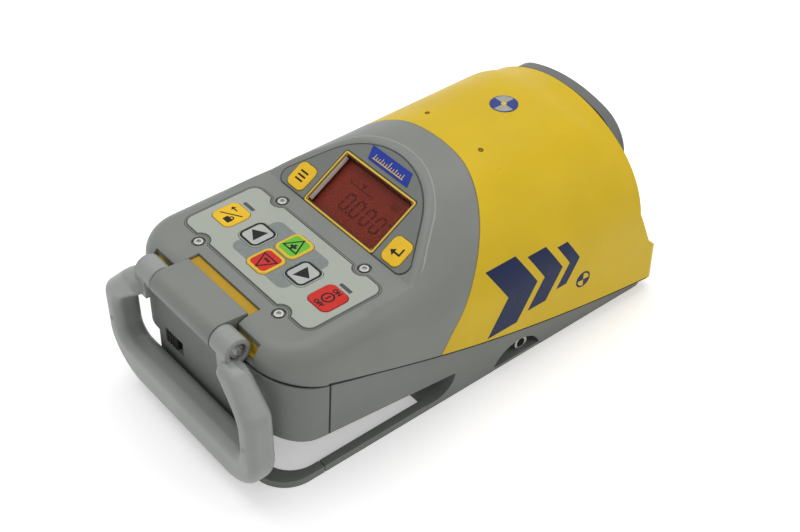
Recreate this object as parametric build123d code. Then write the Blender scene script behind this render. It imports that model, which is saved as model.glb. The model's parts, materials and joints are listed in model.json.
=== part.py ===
from build123d import *
import os
from math import acos, atan2, cos, hypot, radians, sin, sqrt, tan

# Pipe laser, in millimetres. +X is the beam direction, +Z is up, and y = 0 is the plane of symmetry.
# Sizes below count x from the front of the control cover and z from the floor.

# Control cover, the grey shell over the front half
COVER_STEP = 1.0
COVER_CORNER_R = 28.0
COVER_EDGE_R = 12.0
COVER_WALL = 3.0
PANEL_Z = 96.5
BLEND_START_X = 60.0
BLEND_END_X = 130.0
FLAT_CROWN_R = 20000.0

# Hood, the yellow housing's arched rear half
HOOD_STEP = 0.5
HOOD_TOP_Z = 124.5
HOOD_CROWN_R = 150.0
HOOD_SHOULDER_R = 64.0
HOOD_WALL = 3.2
INNER_WALL = 3.0
TAPER_START_X = 226.0
TAPER_END_X = 254.0
TAPER_STEPS = 4
END_TOP_Z = 121.0
END_CROWN_EASE = 11.0
END_SHOULDER_R = 56.0
END_FACE_X = 257.0
RIM_FLANGE = 17.0
RIM_FLANGE_H = 4.5
FRONT_WALL_X = 19.0

# Chin, the lip below the aperture, with a channel for the beam
CHIN_X = 276.5
CHIN_Z = 32.0
CHIN_NECK_X = 267.5
CHIN_NECK_Z = 40.0
CHIN_TOP_Z = 66.0
CHIN_CORNER_R = 6.5
CHIN_EDGE_R = 5.0
CHANNEL_HALF_W = 31.0
CHANNEL_Z = 20.0

# Slanted joint between the cover and the hood, a slight arc in side view
SPLIT_LOW = (104.0, 44.7)
SPLIT_MID = (130.4, 85.0)
SPLIT_HIGH = (166.7, 130.0)
JOINT_GAP = 0.4
FIT_GAP = 0.3

# Parting seam between the upper shells and the base, a long arc in side view
SEAM_FRONT = (-8.0, 84.5)
SEAM_MID = (120.0, 39.5)
SEAM_FAR = (280.0, 8.0)
SEAM_GAP = 1.0
GASKET_INSET = 0.9
GASKET_H = 0.9

# Base casting
BASE_FLARE = 6.8
BASE_HEAD_Z = 90.0
BASE_FOOT_FRONT_X = -2.5
BASE_HEAD_FRONT_X = -0.4
BASE_FOOT_R = 22.0
BASE_HEAD_R = 28.0
FAR_END_X = 277.0
BASE_FAR_R = 10.0
BASE_WALL = 3.5
BASE_FLOOR = 4.0
BAY_END_X = 100.0
WELL_START_X = 124.0
TUNNEL_HALF_W = 46.0
TUNNEL_Z = 8.0

# Open slot under the front half, above a loop that rests on the floor
SLOT_LINE_FAR = (119.0, 18.9)
SLOT_LINE_NEAR = (31.0, 30.5)
SLOT_SWEEP_MID = (12.0, 35.0)
SLOT_SWEEP_END = (-8.0, 45.8)
SLOT_THROUGH_X = 100.0
SLOT_POCKET_DEPTH = 15.7
SLOT_ROOF = 3.0
POCKET_FOOT = 13.0
POCKET_BEND = (3.0, 5.0)
LOOP_Z = 4.6
LOOP_W = 5.4
LOOP_FRONT_X = -4.0
LOOP_R = 21.0

# Battery cover, the end cap below the handle
CAP_JOINT_X = 30.0
LOOP_JOINT_X = 27.7
CAP_GAP = 0.6
CAP_WALL = 3.0
CAP_ROOF = 2.2
CAP_INNER_X = 6.0
CAP_WEB_HALF_W = 45.0
CAP_WEB_X = 3.0

# Battery latches
LATCH_Y = 32.4
LATCH_Z = 43.0
LATCH_L = 11.0
LATCH_H = 9.4
LATCH_TRAVEL = 6.0
LATCH_FRONT_X = -1.6
LATCH_FLOOR_X = 2.2
LATCH_GAP = 0.3
LATCH_CHAMFER = 1.0
LATCH_GROOVE_R = 0.8
TONGUE_L = 5.0
TONGUE_H = 3.6
LATCH_HEAD_L = 9.0
LATCH_HEAD_H = 6.0
LATCH_HEAD_T = 2.0

# Batteries: D cells, two by two, lying across the body
CELL_R = 17.1
CELL_L = 61.5
CELL_NUB_R = 4.75
CELL_NUB_L = 1.5
CELL_FRONT_X = 31.6
CELL_PITCH_X = 35.0
TRAY_X = 10.0
TRAY_END_X = 86.0
CELL_END_ROOM = 2.7
TRAY_FLOOR_Z = 39.4
TRAY_WALL = 1.4
TRAY_H = 22.0
TRAY_R = 8.0
RUNNER_Y = 40.0
RUNNER_W = 3.0
CONTACT_T = 0.6

# Sloping display face
SLOPE_FOOT_X = 90.2
SLOPE_ANGLE = 31.0
SLOPE_RIM_R = 4.0
OVERLAY_R = 49.0
OVERLAY_CENTRE_S = 3.8
OVERLAY_HALF_W = 61.0
OVERLAY_FOOT_S = 0.4
OVERLAY_CORNER_R = 6.0
OVERLAY_SINK = 0.4
OVERLAY_PROUD = 0.3
FRAME_W = 61.2
FRAME_H = 36.8
FRAME_S = 18.9
FRAME_BAND = 1.6
FRAME_PROUD = 0.5
WINDOW_LIP = 0.9
WINDOW_T = 2.0
LCD_W = 57.0
LCD_H = 32.0
LCD_FLANGE = 6.0
LCD_T = 4.5
DISPLAY_BOARD_W = 100.0
DISPLAY_BOARD_H = 26.0
DISPLAY_BOARD_S = 12.0
BADGE_S = (40.5, 48.5)
BADGE_HALF_W = 17.0
BADGE_SLANT = 3.6
BADGE_T = 0.4

# Keypad plate and its screws
PLATE_X = (28.0, 77.5)
PLATE_HALF_W = 57.5
PLATE_R = 6.0
PLATE_SINK = 0.5
PLATE_PROUD = 0.4
PLATE_GROOVE = 0.5
SCALLOP_R = 6.6
PANEL_SCREW_X = (25.0, 80.6)
PANEL_SCREW_Y = 37.1
PANEL_SCREW_R = 1.5
PANEL_SCREW_L = 12.0
PANEL_HEAD_R = 2.75
PANEL_HEAD_H = 2.0
PANEL_HEAD_PROUD = 0.2
PANEL_BORE_R = 4.0
SCREW_GAP = 0.15
SOCKET_SHARE = 0.55
HEAD_CHAMFER = 0.25

# Keys: centres on the panel (x, y) and on the slope (across, up)
KEY_L = 17.6
KEY_W = 16.8
KEY_R = 4.0
PANEL_KEYS = {
    "key_lock": (51.2, 44.2),
    "key_left": (52.6, 20.8),
    "key_plus": (62.1, 0.0),
    "key_minus": (43.3, 0.0),
    "key_right": (52.6, -20.8),
    "key_power": (51.2, -44.2),
}
SLOPE_KEY_W = 14.4
SLOPE_KEY_H = 16.0
SLOPE_KEY_S = 10.0
SLOPE_KEY_U = 42.4
SLOPE_KEYS = {
    "key_menu": (-SLOPE_KEY_U, SLOPE_KEY_S),
    "key_enter": (SLOPE_KEY_U, SLOPE_KEY_S),
}
KEY_PROUD = 0.9
KEY_GAP = 0.3
KEY_FLANGE = 1.0
KEY_FLANGE_T = 1.0
KEY_EDGE_R = 0.5
KEY_TRAVEL = 0.8
INDICATOR_X = 63.0
INDICATOR_Y = 44.0
INDICATOR_L = 9.0
INDICATOR_W = 2.0
MAT_X = (31.5, 74.0)
MAT_HALF_W = 54.5
MAT_T = 1.2
BOARD_T = 1.6
BOARD_LAP = 3.0

# Handle and its hinge
PIVOT_X = -4.5
PIVOT_Z = 91.0
BLOCK_R = 8.0
BLOCK_HALF_W = 27.6
BLOCK_REAR_X = 12.5
BLOCK_REAR_TOP_Z = 97.3
BLOCK_GAP = 0.3
NOTCH_REAR_X = 19.6
NOTCH_HALF_W = 28.7
LEDGE_DROP = 1.5
LUG_NOTCH_X = 5.6
LUG_NOTCH_HALF_W = 48.4
LUG_R = 7.8
LUG_IN_Y = 28.2
LUG_OUT_Y = 43.0
ARM_TOP_Z = 88.0
ARM_TOP_Y = (35.0, 52.0)
ARM_Y = (57.5, 71.0)
ARM_BEND_OUT_Z = 68.0
ARM_BEND_IN_Z = (81.0, 63.0)
GRIP_TOP_Z = 35.0
GRIP_LOW_Z = 8.6
ARM_TOP_FRONT_X = -16.4
ARM_FRONT_X = -20.0
ARM_FRONT_Z = (66.0, 38.0)
GRIP_FRONT_X = -18.6
HANDLE_REAR_X = -3.0
HANDLE_CORNER_R = 29.0
HANDLE_EDGE_R = 5.5
BOW_R = 60.0
ARM_BEND_R = 12.0
WINDOW_CORNER_R = 7.0
NECK_Y = 34.0
NECK_LOW_Z = 78.0
NUB_Z = 47.0
NUB_R = 2.0
HANDLE_FRONT_X = -20.8
BUSH_R = 3.3
BUSH_RUN = 0.06
PIVOT_SCREW_R = 2.5
PIVOT_HEAD_R = 4.3
PIVOT_HEAD_H = 3.6
PIVOT_BORE_R = 5.2
PIVOT_SEAT_Y = 38.0
PIVOT_SCREW_END_Y = 16.0
BLOCK_SCREW_Y = 18.0
BLOCK_SCREW_Z = 86.4
BLOCK_SCREW_R = 2.0
BLOCK_SCREW_HEAD_R = 3.5
BLOCK_SCREW_HEAD_H = 3.0
BLOCK_SCREW_TIP_X = 6.0

# Aperture bezel and window on the far end
BEZEL_T = 7.6
BEZEL_GAP = 0.4
BEZEL_HALF_W = 48.5
BEZEL_TOP_Z = 120.0
BEZEL_CROWN_R = 96.0
BEZEL_SHOULDER_R = 26.0
BEZEL_LEG_Z = 67.5
BEZEL_TONGUE_GAP = 0.5
APERTURE_HALF_W = 26.0
APERTURE_Z = (25.5, 100.0)
APERTURE_LOW_R = 8.0
GLASS_LAP = 3.0
GLASS_T = 3.0
GLASS_GAP = 0.2
SEAL_T = 0.8
BEZEL_SCREWS = [(40.0, 75.0), (-40.0, 75.0), (33.0, 100.0), (-33.0, 100.0), (0.0, 112.0)]
BEZEL_SCREW_R = 1.5
BEZEL_HEAD_R = 2.75
BEZEL_HEAD_H = 2.2
BEZEL_SCREW_L = 13.0

# Marks of the turning centre, and two sighting pits
CENTRE_X = 212.0
TILT_Z = 41.0
TOP_MARK_R = 8.2
SIDE_MARK_R = 5.4
MARK_SINK = 0.5
MARK_T = 0.6
PIT_X = 174.0
PIT_Y = 23.0
PIT_R = 1.0
PIT_DEPTH = 2.0

# Fastenings to the outside: 5/8 inch stud below the turning centre, M6 leg sockets in side recesses
STUD_R = 7.94
STUD_INSERT_R = 11.0
STUD_INSERT_L = 10.6
STUD_CAP = 1.2
STUD_BOSS_R = 15.0
STUD_BOSS_H = 11.0
LEG_RECESS_X = 168.0
LEG_RECESS_Z = -4.0
LEG_RECESS_R = 19.0
LEG_RECESS_DEPTH = 9.7
LEG_WALL = 3.5
LEG_X = 173.0
LEG_Z = 7.5
LEG_R = 3.0
LEG_INSERT_R = 4.6
LEG_BITE = 1.5
LEG_REACH = 7.5
INSERT_GAP = 0.1

# Bolts that hold the base to the housing
BOLT_X = (135.0, 264.0)
BOLT_INSET = (6.2, 7.7)
BOLT_R = 2.0
BOLT_HEAD_R = 3.5
BOLT_HEAD_H = 3.0
BOLT_HEAD_Z = 0.4
BOLT_BOSS_R = 5.0
BOLT_BITE = 3.8

# Chassis, turntable and bearing
CHASSIS_X = (128.0, 250.0)
CHASSIS_GAP = 2.5
CHASSIS_T = 4.0
BEARING_R = (20.0, 25.5)
BEARING_H = 2.8
DECK_GAP = 0.3
DECK_T = 3.2
DECK_R = (19.0, 27.0)
CHEEK_Y = (15.2, 20.0)
CHEEK_HALF_L = 9.0
RAIL_END_X = 150.0
TAIL_X = 157.0
FORK_END_X = 134.0
FORK_HALF_W = 8.0
FORK_SLOT_X = 146.0
PIN_R = 2.0
FORK_SLACK = 0.8
SCREW_ARM = 45.0
SCREW_R = 2.5
JOURNAL_R = 1.8
RUN_GAP = 0.06
SHELF_Z = 54.0
SHELF_T = 3.0
POST_X = (152.0, 156.0)
POST_HALF_W = 9.0
SHELF_END_X = 175.0
MOTOR_R = 9.0
MOTOR_L = 23.0
NUT_L = 10.0
NUT_H = 8.0
NUT_IN_Y = 3.4

# Laser barrel and cradle
BARREL_R = 12.0
BARREL_BORE_R = 10.2
BARREL_X = (180.0, 248.0)
BARREL_PLUG = 6.0
CRADLE_R = 14.2
CRADLE_HALF_L = 7.0
CRADLE_GAP = 0.05
TRUNNION_R = 3.0
TRUNNION_Y = 19.6
LEVER_Y = (4.0, 10.0)
LEVER_HALF_H = 6.5
LEVER_END = 53.5
LEVER_SLOT = 39.0
DIODE_R = 4.5
DIODE_L = 8.0
LENS_T = 3.5
LENS_BULGE = 1.2
LENS_X = 243.0
LEVEL_L = 24.0
LEVEL_W = 10.0
LEVEL_H = 7.0
LEVEL_GAP = 1.0

# Line drive, a cross screw behind the turntable
LINE_X = 140.0
LINE_Z = 22.0
LINE_BLOCK_Y = (21.5, 25.0)
LINE_BLOCK_HALF_L = 6.0
LINE_BLOCK_TOP_Z = 28.0
LINE_MOTOR_R = 8.0
LINE_MOTOR_L = 20.0
LINE_NUT_GAP = 2.0

# Main board under the hood
MAIN_BOARD_X = (168.0, 232.0)
MAIN_BOARD_HALF_W = 40.0
MAIN_BOARD_Z = 100.0
MAIN_BOARD_R = 3.0
MAIN_POST_X = (175.0, 225.0)
MAIN_POST_Y = 34.0
MAIN_POST_R = 3.5
MAIN_POST_L = 16.0

# Working limits for cutting solids
LEAST_R = 1.0
OVERCUT = 1.0
LOW_Z = -5.0
HIGH_Z = 160.0
WIDE = 110.0
NEAR_X = -60.0

PANEL = Plane(origin=(0, 0, PANEL_Z))
SLOPE_DIR = (cos(radians(SLOPE_ANGLE)), sin(radians(SLOPE_ANGLE)))
SLOPE = Plane(
    origin=(SLOPE_FOOT_X, 0, PANEL_Z),
    x_dir=(0, -1, 0),
    z_dir=(-SLOPE_DIR[1], 0, SLOPE_DIR[0]),
)
SIDES = (1, -1)

# Widths that follow the batteries: the tray round them, the base round the tray, the shells over the base
TRAY_HALF_W = CELL_L + CELL_END_ROOM
BASE_FOOT_HALF_W = TRAY_HALF_W + BASE_WALL
BASE_HEAD_HALF_W = BASE_FOOT_HALF_W + BASE_FLARE
HOOD_HALF_W = BASE_HEAD_HALF_W - HOOD_STEP
END_CROWN_R = HOOD_HALF_W + END_CROWN_EASE
COVER_HALF_W = HOOD_HALF_W - COVER_STEP
SLOT_POCKET_Y = BASE_FOOT_HALF_W - SLOT_POCKET_DEPTH
LEG_RECESS_Y = BASE_FOOT_HALF_W - LEG_RECESS_DEPTH
LEG_INSERT_Y = (LEG_RECESS_Y - LEG_BITE, LEG_RECESS_Y + LEG_REACH)
CHASSIS_HALF_W = LEG_RECESS_Y - LEG_WALL - CHASSIS_GAP
BOLTS = [(x, s * (BASE_FOOT_HALF_W - inset)) for x, inset in zip(BOLT_X, BOLT_INSET) for s in SIDES]


def block(x, y, z):
    """Box between the pairs of limits x, y and z."""
    size = Box(x[1] - x[0], y[1] - y[0], z[1] - z[0])
    return Pos((x[0] + x[1]) / 2, (y[0] + y[1]) / 2, (z[0] + z[1]) / 2) * size


def pad(centre, length, width, radius, low, high):
    """Rounded plate between two heights above a local plane."""
    outline = Pos(centre[0], centre[1], low) * RectangleRounded(length, width, radius)
    return extrude(outline, high - low)


def rod_z(x, y, radius, low, high):
    return Pos(x, y, (low + high) / 2) * Cylinder(radius, high - low)


def rod_y(x, z, radius, low, high):
    return Pos(x, (low + high) / 2, z) * Rot(90, 0, 0) * Cylinder(radius, high - low)


def rod_x(y, z, radius, low, high):
    return Pos((low + high) / 2, y, z) * Rot(0, 90, 0) * Cylinder(radius, high - low)


def side_prism(edges, half_width=WIDE):
    """Solid across the body from an outline in side view (x, z)."""
    return extrude(Plane.XZ * make_face(edges), half_width, both=True)


def plan_face(near_x, far_x, half_w, near_r, far_r):
    """Outline in plan with rounded corners at each end."""
    face = Pos((near_x + far_x) / 2, 0) * Rectangle(far_x - near_x, 2 * half_w)
    face = fillet(face.vertices().sort_by(Axis.X)[:2], near_r)
    return fillet(face.vertices().sort_by(Axis.X)[-2:], far_r)


# Outer form of the two upper shells, and the same form moved inwards by an inset


def arch(x, half_w, top_z, crown_r, shoulder_r, inset):
    """Cross-section: upright sides, round shoulders and a slightly crowned top."""
    w = half_w - inset
    top = top_z - inset
    crown = crown_r - inset
    edge_z = top - crown + sqrt(crown * crown - w * w)
    sides = Polyline((w, edge_z), (w, LOW_Z), (-w, LOW_Z), (-w, edge_z))
    face = make_face([*sides.edges(), ThreePointArc((-w, edge_z), (0, top), (w, edge_z))])
    face = fillet(face.vertices().sort_by(Axis.Y)[-2:], max(shoulder_r - inset, LEAST_R))
    return Plane.YZ.offset(x) * face


def end_arch(x, inset):
    """Cross-section at the far end, lower and rounder than the hood."""
    return arch(x, HOOD_HALF_W, END_TOP_Z, END_CROWN_R, END_SHOULDER_R, inset)


def hood_taper(inset):
    """Blend from the hood to the far end that starts and ends level."""
    sections = []
    for step in range(TAPER_STEPS + 1):
        share = step / TAPER_STEPS
        ease = share * share * (3 - 2 * share)
        x = TAPER_START_X + share * (TAPER_END_X - inset - TAPER_START_X)
        top_z = HOOD_TOP_Z + ease * (END_TOP_Z - HOOD_TOP_Z)
        crown_r = HOOD_CROWN_R + ease * (END_CROWN_R - HOOD_CROWN_R)
        shoulder_r = HOOD_SHOULDER_R + ease * (END_SHOULDER_R - HOOD_SHOULDER_R)
        sections.append(arch(x, HOOD_HALF_W, top_z, crown_r, shoulder_r, inset))
    return loft(sections)


def front_block(inset):
    """Front of the cover: upright corners rounded in plan, top edge rounded all round."""
    w = COVER_HALF_W - inset
    face = Pos((inset + BLEND_START_X) / 2, 0) * Rectangle(BLEND_START_X - inset, 2 * w)
    face = fillet(face.vertices().sort_by(Axis.X)[:2], COVER_CORNER_R - inset)
    solid = extrude(Pos(0, 0, LOW_Z) * face, PANEL_Z - inset - LOW_Z)
    rim = solid.faces().sort_by(Axis.Z)[-1].edges().sort_by(Axis.X)[:-1]
    return fillet(rim, max(COVER_EDGE_R - inset, LEAST_R))


def chin(inset):
    """Lip at the foot of the far end, hollowed by a channel for the beam."""
    outline = Polyline(
        (TAPER_START_X, LOW_Z),
        (CHIN_X - inset, LOW_Z),
        (CHIN_X - inset, CHIN_Z - inset),
        (CHIN_NECK_X - inset, CHIN_NECK_Z - inset),
        (END_FACE_X - inset, CHIN_TOP_Z - inset),
        (TAPER_START_X, CHIN_TOP_Z - inset),
        close=True,
    )
    face = make_face(outline.edges())
    brow = [v for v in face.vertices() if abs(v.Y - CHIN_Z + inset) < 0.01]
    face = fillet(brow, CHIN_EDGE_R)
    lip = extrude(Plane.XZ * face, WIDE, both=True)
    corner_r = max(CHIN_CORNER_R - inset, LEAST_R)
    plan = plan_face(TAPER_START_X, CHIN_X - inset, HOOD_HALF_W - inset, LEAST_R, corner_r)
    lip &= extrude(Pos(0, 0, LOW_Z) * plan, HIGH_Z)
    lip &= extrude(end_arch(TAPER_START_X, inset), CHIN_X - TAPER_START_X)
    reach = CHANNEL_HALF_W + inset
    return lip - block((END_FACE_X - inset, FAR_END_X), (-reach, reach), (CHANNEL_Z - inset, HIGH_Z))


def above_face(inset):
    """What the level panel and the sloping display face cut away."""
    level = PANEL_Z - inset
    rise = tan(radians(SLOPE_ANGLE))
    foot_x = SLOPE_FOOT_X + inset * (1 / SLOPE_DIR[0] - 1) / rise
    head_x = foot_x + (HIGH_Z - level) / rise
    return side_prism(
        Polyline((NEAR_X, level), (foot_x, level), (head_x, HIGH_Z), (NEAR_X, HIGH_Z), close=True).edges()
    )


def envelope(inset):
    """Whole upper form, open below, moved inwards by the inset."""
    cover_arch = (COVER_HALF_W, PANEL_Z, FLAT_CROWN_R, COVER_EDGE_R, inset)
    hood_arch = (HOOD_HALF_W, HOOD_TOP_Z, HOOD_CROWN_R, HOOD_SHOULDER_R, inset)
    blend = loft([arch(BLEND_START_X, *cover_arch), arch(BLEND_END_X, *hood_arch)], ruled=True)
    hood = extrude(arch(BLEND_END_X, *hood_arch), TAPER_START_X - BLEND_END_X)
    end = extrude(end_arch(TAPER_END_X - inset, inset), END_FACE_X - TAPER_END_X)
    arched = blend + hood - above_face(inset)
    return front_block(inset) + arched + hood_taper(inset) + end + chin(inset)


def soften_rim(form):
    """Rounds the edge where the sloping display face runs out into the arch."""
    rim = []
    for edge in form.edges():
        spots = [SLOPE.to_local_coords(edge @ share) for share in (0, 0.5, 1)]
        if all(abs(spot.Z) < 0.01 for spot in spots) and spots[1].Y > LEAST_R:
            rim.append(edge)
    return fillet(rim, SLOPE_RIM_R)


def below_seam(rise):
    """Everything under the parting seam, with the seam lifted by rise."""
    front, middle, far = [(x, z + rise) for x, z in (SEAM_FRONT, SEAM_MID, SEAM_FAR)]
    rest = Polyline(far, (far[0], -HIGH_Z), (front[0], -HIGH_Z), front)
    return side_prism([ThreePointArc(front, middle, far), *rest.edges()])


def before_split(shift):
    """Everything on the cover's side of the slanted joint, with the joint moved by shift along X."""
    low, middle, high = [(x + shift, z) for x, z in (SPLIT_LOW, SPLIT_MID, SPLIT_HIGH)]
    rest = Polyline(
        high, (high[0], HIGH_Z), (NEAR_X, HIGH_Z), (NEAR_X, -HIGH_Z), (low[0], -HIGH_Z), low
    )
    return side_prism([ThreePointArc(low, middle, high), *rest.edges()])


def seam_z(x):
    """Height of the parting seam at x, from the circle through its three points."""
    (x1, z1), (x2, z2), (x3, z3) = SEAM_FRONT, SEAM_MID, SEAM_FAR
    d = 2 * (x1 * (z2 - z3) + x2 * (z3 - z1) + x3 * (z1 - z2))
    s1, s2, s3 = x1 * x1 + z1 * z1, x2 * x2 + z2 * z2, x3 * x3 + z3 * z3
    cx = (s1 * (z2 - z3) + s2 * (z3 - z1) + s3 * (z1 - z2)) / d
    cz = (s1 * (x3 - x2) + s2 * (x1 - x3) + s3 * (x2 - x1)) / d
    return cz - sqrt((x1 - cx) ** 2 + (z1 - cz) ** 2 - (x - cx) ** 2)


# Cut-outs shared by the shells and the pieces that sit in them


def panel_screw_places():
    return [(x, side * PANEL_SCREW_Y) for x in PANEL_SCREW_X for side in SIDES]


def plate_outline(grow):
    """Keypad plate in plan, scalloped round the panel screws and grown on every side."""
    length = PLATE_X[1] - PLATE_X[0] + 2 * grow
    width = 2 * (PLATE_HALF_W + grow)
    face = Pos(sum(PLATE_X) / 2, 0) * RectangleRounded(length, width, PLATE_R + grow)
    for x, y in panel_screw_places():
        face -= Pos(x, y) * Circle(SCALLOP_R - grow)
    return face


def overlay_outline(grow):
    """Display overlay: a round dome whose straight sides flare to the foot."""
    radius = OVERLAY_R + grow
    half_w = OVERLAY_HALF_W + grow
    foot = OVERLAY_FOOT_S - grow
    reach = hypot(half_w, foot - OVERLAY_CENTRE_S)
    touch = atan2(foot - OVERLAY_CENTRE_S, half_w) + acos(radius / reach)
    side = (radius * cos(touch), OVERLAY_CENTRE_S + radius * sin(touch))
    mirrored = (-side[0], side[1])
    apex = (0, OVERLAY_CENTRE_S + radius)
    lines = Polyline(mirrored, (-half_w, foot), (half_w, foot), side)
    face = make_face([*lines.edges(), ThreePointArc(side, apex, mirrored)])
    return fillet(face.vertices().sort_by(Axis.Y)[:2], OVERLAY_CORNER_R)


def key_pads(grow, low, high):
    """Blanks over every key, grown on every side, between two heights over their own face."""
    radius = KEY_R + grow
    panel_size = (KEY_L + 2 * grow, KEY_W + 2 * grow, radius)
    slope_size = (SLOPE_KEY_W + 2 * grow, SLOPE_KEY_H + 2 * grow, radius)
    panel = [PANEL * pad(centre, *panel_size, low, high) for centre in PANEL_KEYS.values()]
    slope = [SLOPE * pad(centre, *slope_size, low, high) for centre in SLOPE_KEYS.values()]
    return panel, slope


def frame_pad(grow, low, high):
    """Blank over the display opening."""
    return SLOPE * pad((0, FRAME_S), FRAME_W + 2 * grow, FRAME_H + 2 * grow, FRAME_BAND, low, high)


def hinge_notch(shrink):
    """Room for the hinge block and the handle's lugs in the front edge."""
    floor_z = PIVOT_Z - BLOCK_R - BLOCK_GAP
    lugs = block((NEAR_X, LUG_NOTCH_X), (-LUG_NOTCH_HALF_W, LUG_NOTCH_HALF_W), (floor_z, HIGH_Z))
    middle = block((NEAR_X, NOTCH_REAR_X - shrink), (-NOTCH_HALF_W, NOTCH_HALF_W), (floor_z, HIGH_Z))
    return lugs + middle


def hinge_ledge():
    """Raised ledge of the housing that fills the notch behind the hinge block."""
    half_w = NOTCH_HALF_W - FIT_GAP
    rest_z = PANEL_Z - COVER_WALL - FIT_GAP - INNER_WALL / 2
    return block(
        (BLOCK_REAR_X + BLOCK_GAP, NOTCH_REAR_X - FIT_GAP), (-half_w, half_w), (rest_z, PANEL_Z - LEDGE_DROP)
    )


def centre_marks(grow, sink, proud):
    """Discs at the turning centre: one on the top and one on each side."""
    top = rod_z(CENTRE_X, 0, TOP_MARK_R + grow, HOOD_TOP_Z - sink, HOOD_TOP_Z + proud)
    sides = []
    for s in SIDES:
        span = sorted((s * (HOOD_HALF_W - sink), s * (HOOD_HALF_W + proud)))
        sides.append(rod_y(CENTRE_X, TILT_Z, SIDE_MARK_R + grow, *span))
    return top, sides


def aperture_face(grow):
    """Arched opening for the beam, seen along X and grown on every side."""
    half_w = APERTURE_HALF_W + grow
    low = APERTURE_Z[0] - grow
    high = APERTURE_Z[1] + grow
    spring = high - half_w
    sides = Polyline((-half_w, spring), (-half_w, low), (half_w, low), (half_w, spring))
    face = make_face([*sides.edges(), ThreePointArc((half_w, spring), (0, high), (-half_w, spring))])
    return fillet(face.vertices().sort_by(Axis.Y)[:2], APERTURE_LOW_R + grow)


def aperture_prism(grow, x0, x1):
    return extrude(Plane.YZ.offset(x0) * aperture_face(grow), x1 - x0)


# Upper shells


def control_cover():
    shell = soften_rim(envelope(0)) - envelope(COVER_WALL)
    shell &= before_split(-JOINT_GAP / 2)
    shell -= below_seam(SEAM_GAP / 2)
    shell -= hinge_notch(0)
    shell -= extrude(PANEL * Pos(0, 0, -PLATE_SINK) * plate_outline(PLATE_GROOVE), 2 * PLATE_SINK)
    shell -= extrude(SLOPE * Pos(0, 0, -OVERLAY_SINK) * overlay_outline(FIT_GAP), 2 * OVERLAY_SINK)
    shell -= frame_pad(FIT_GAP, -2 * COVER_WALL, COVER_WALL)
    for group in key_pads(KEY_GAP, -2 * COVER_WALL, COVER_WALL):
        shell -= group
    for x, y in panel_screw_places():
        shell -= rod_z(x, y, PANEL_BORE_R, PANEL_Z - PANEL_HEAD_H, HIGH_Z)
        shell -= rod_z(x, y, PANEL_SCREW_R + SCREW_GAP, PANEL_Z - 2 * COVER_WALL, HIGH_Z)
    return shell


def housing_cavity():
    """Hollow of the housing: thin walls, a thick front wall and a bolting flange at the seam."""
    under_cover = envelope(COVER_WALL + FIT_GAP + INNER_WALL) & before_split(2 * HOOD_WALL)
    under_hood = envelope(HOOD_WALL) - before_split(2 * HOOD_WALL) - below_seam(RIM_FLANGE_H)
    inside_flange = envelope(RIM_FLANGE)
    hollow = under_cover + under_hood + inside_flange
    return hollow - block((NEAR_X, FRONT_WALL_X), (-WIDE, WIDE), (-HIGH_Z, HIGH_Z))


def main_housing():
    hood = envelope(0) - before_split(JOINT_GAP / 2)
    inner = envelope(COVER_WALL + FIT_GAP) & before_split(JOINT_GAP)
    shell = hood + inner - housing_cavity()
    for x in MAIN_POST_X:
        for side in SIDES:
            low = MAIN_BOARD_Z + BOARD_T + BLOCK_GAP
            shell += rod_z(x, side * MAIN_POST_Y, MAIN_POST_R, low, low + MAIN_POST_L)
    shell -= below_seam(SEAM_GAP / 2)
    shell -= hinge_notch(NOTCH_REAR_X - BLOCK_REAR_X - BLOCK_GAP)
    shell += hinge_ledge()
    shell -= PANEL * pad(
        (sum(MAT_X) / 2, 0), MAT_X[1] - MAT_X[0], 2 * MAT_HALF_W, KEY_R, -4 * COVER_WALL, COVER_WALL
    )
    shell -= frame_pad(WINDOW_LIP + FIT_GAP, -4 * COVER_WALL, COVER_WALL)
    shell -= key_pads(2 * KEY_FLANGE, -4 * COVER_WALL, COVER_WALL)[1]
    for x, y in panel_screw_places():
        shell -= rod_z(x, y, PANEL_SCREW_R + SCREW_GAP, PANEL_Z - 2 * PANEL_SCREW_L, HIGH_Z)
    for side in SIDES:
        shell -= rod_x(side * BLOCK_SCREW_Y, BLOCK_SCREW_Z, BLOCK_SCREW_R + SCREW_GAP, 0, 2 * FRONT_WALL_X)
        shell -= rod_z(PIT_X, side * PIT_Y, PIT_R, HOOD_TOP_Z - PIT_DEPTH - SEAM_GAP, HIGH_Z)
    top, sides = centre_marks(FIT_GAP / 2, MARK_SINK, PIT_DEPTH)
    shell -= [top, *sides]
    shell -= aperture_prism(0, END_FACE_X - 2 * RIM_FLANGE, FAR_END_X)
    for y, z in BEZEL_SCREWS:
        shell -= rod_x(y, z, BEZEL_SCREW_R + SCREW_GAP, END_FACE_X - RIM_FLANGE, FAR_END_X)
    for x, y in BOLTS:
        shell -= rod_z(x, y, BOLT_R + SCREW_GAP, 0, seam_z(x) + BOLT_BITE + SCREW_GAP)
    return shell


def parting_gasket():
    ring = lower_body(GASKET_INSET) - lower_body(BASE_WALL)
    return (ring & below_seam(GASKET_H / 2)) - below_seam(-GASKET_H / 2)


# Base, battery cover and their fittings


def lower_body(inset):
    """Form of the base: sides that draw in towards the floor, rounded at both ends in plan."""
    end_x = FAR_END_X - inset
    end_r = BASE_FAR_R - inset
    foot = plan_face(
        BASE_FOOT_FRONT_X + inset, end_x, BASE_FOOT_HALF_W - inset, BASE_FOOT_R - inset, end_r
    )
    head = plan_face(
        BASE_HEAD_FRONT_X + inset, end_x, BASE_HEAD_HALF_W - inset, BASE_HEAD_R - inset, end_r
    )
    return loft([foot, Pos(0, 0, BASE_HEAD_Z) * head], ruled=True)


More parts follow.
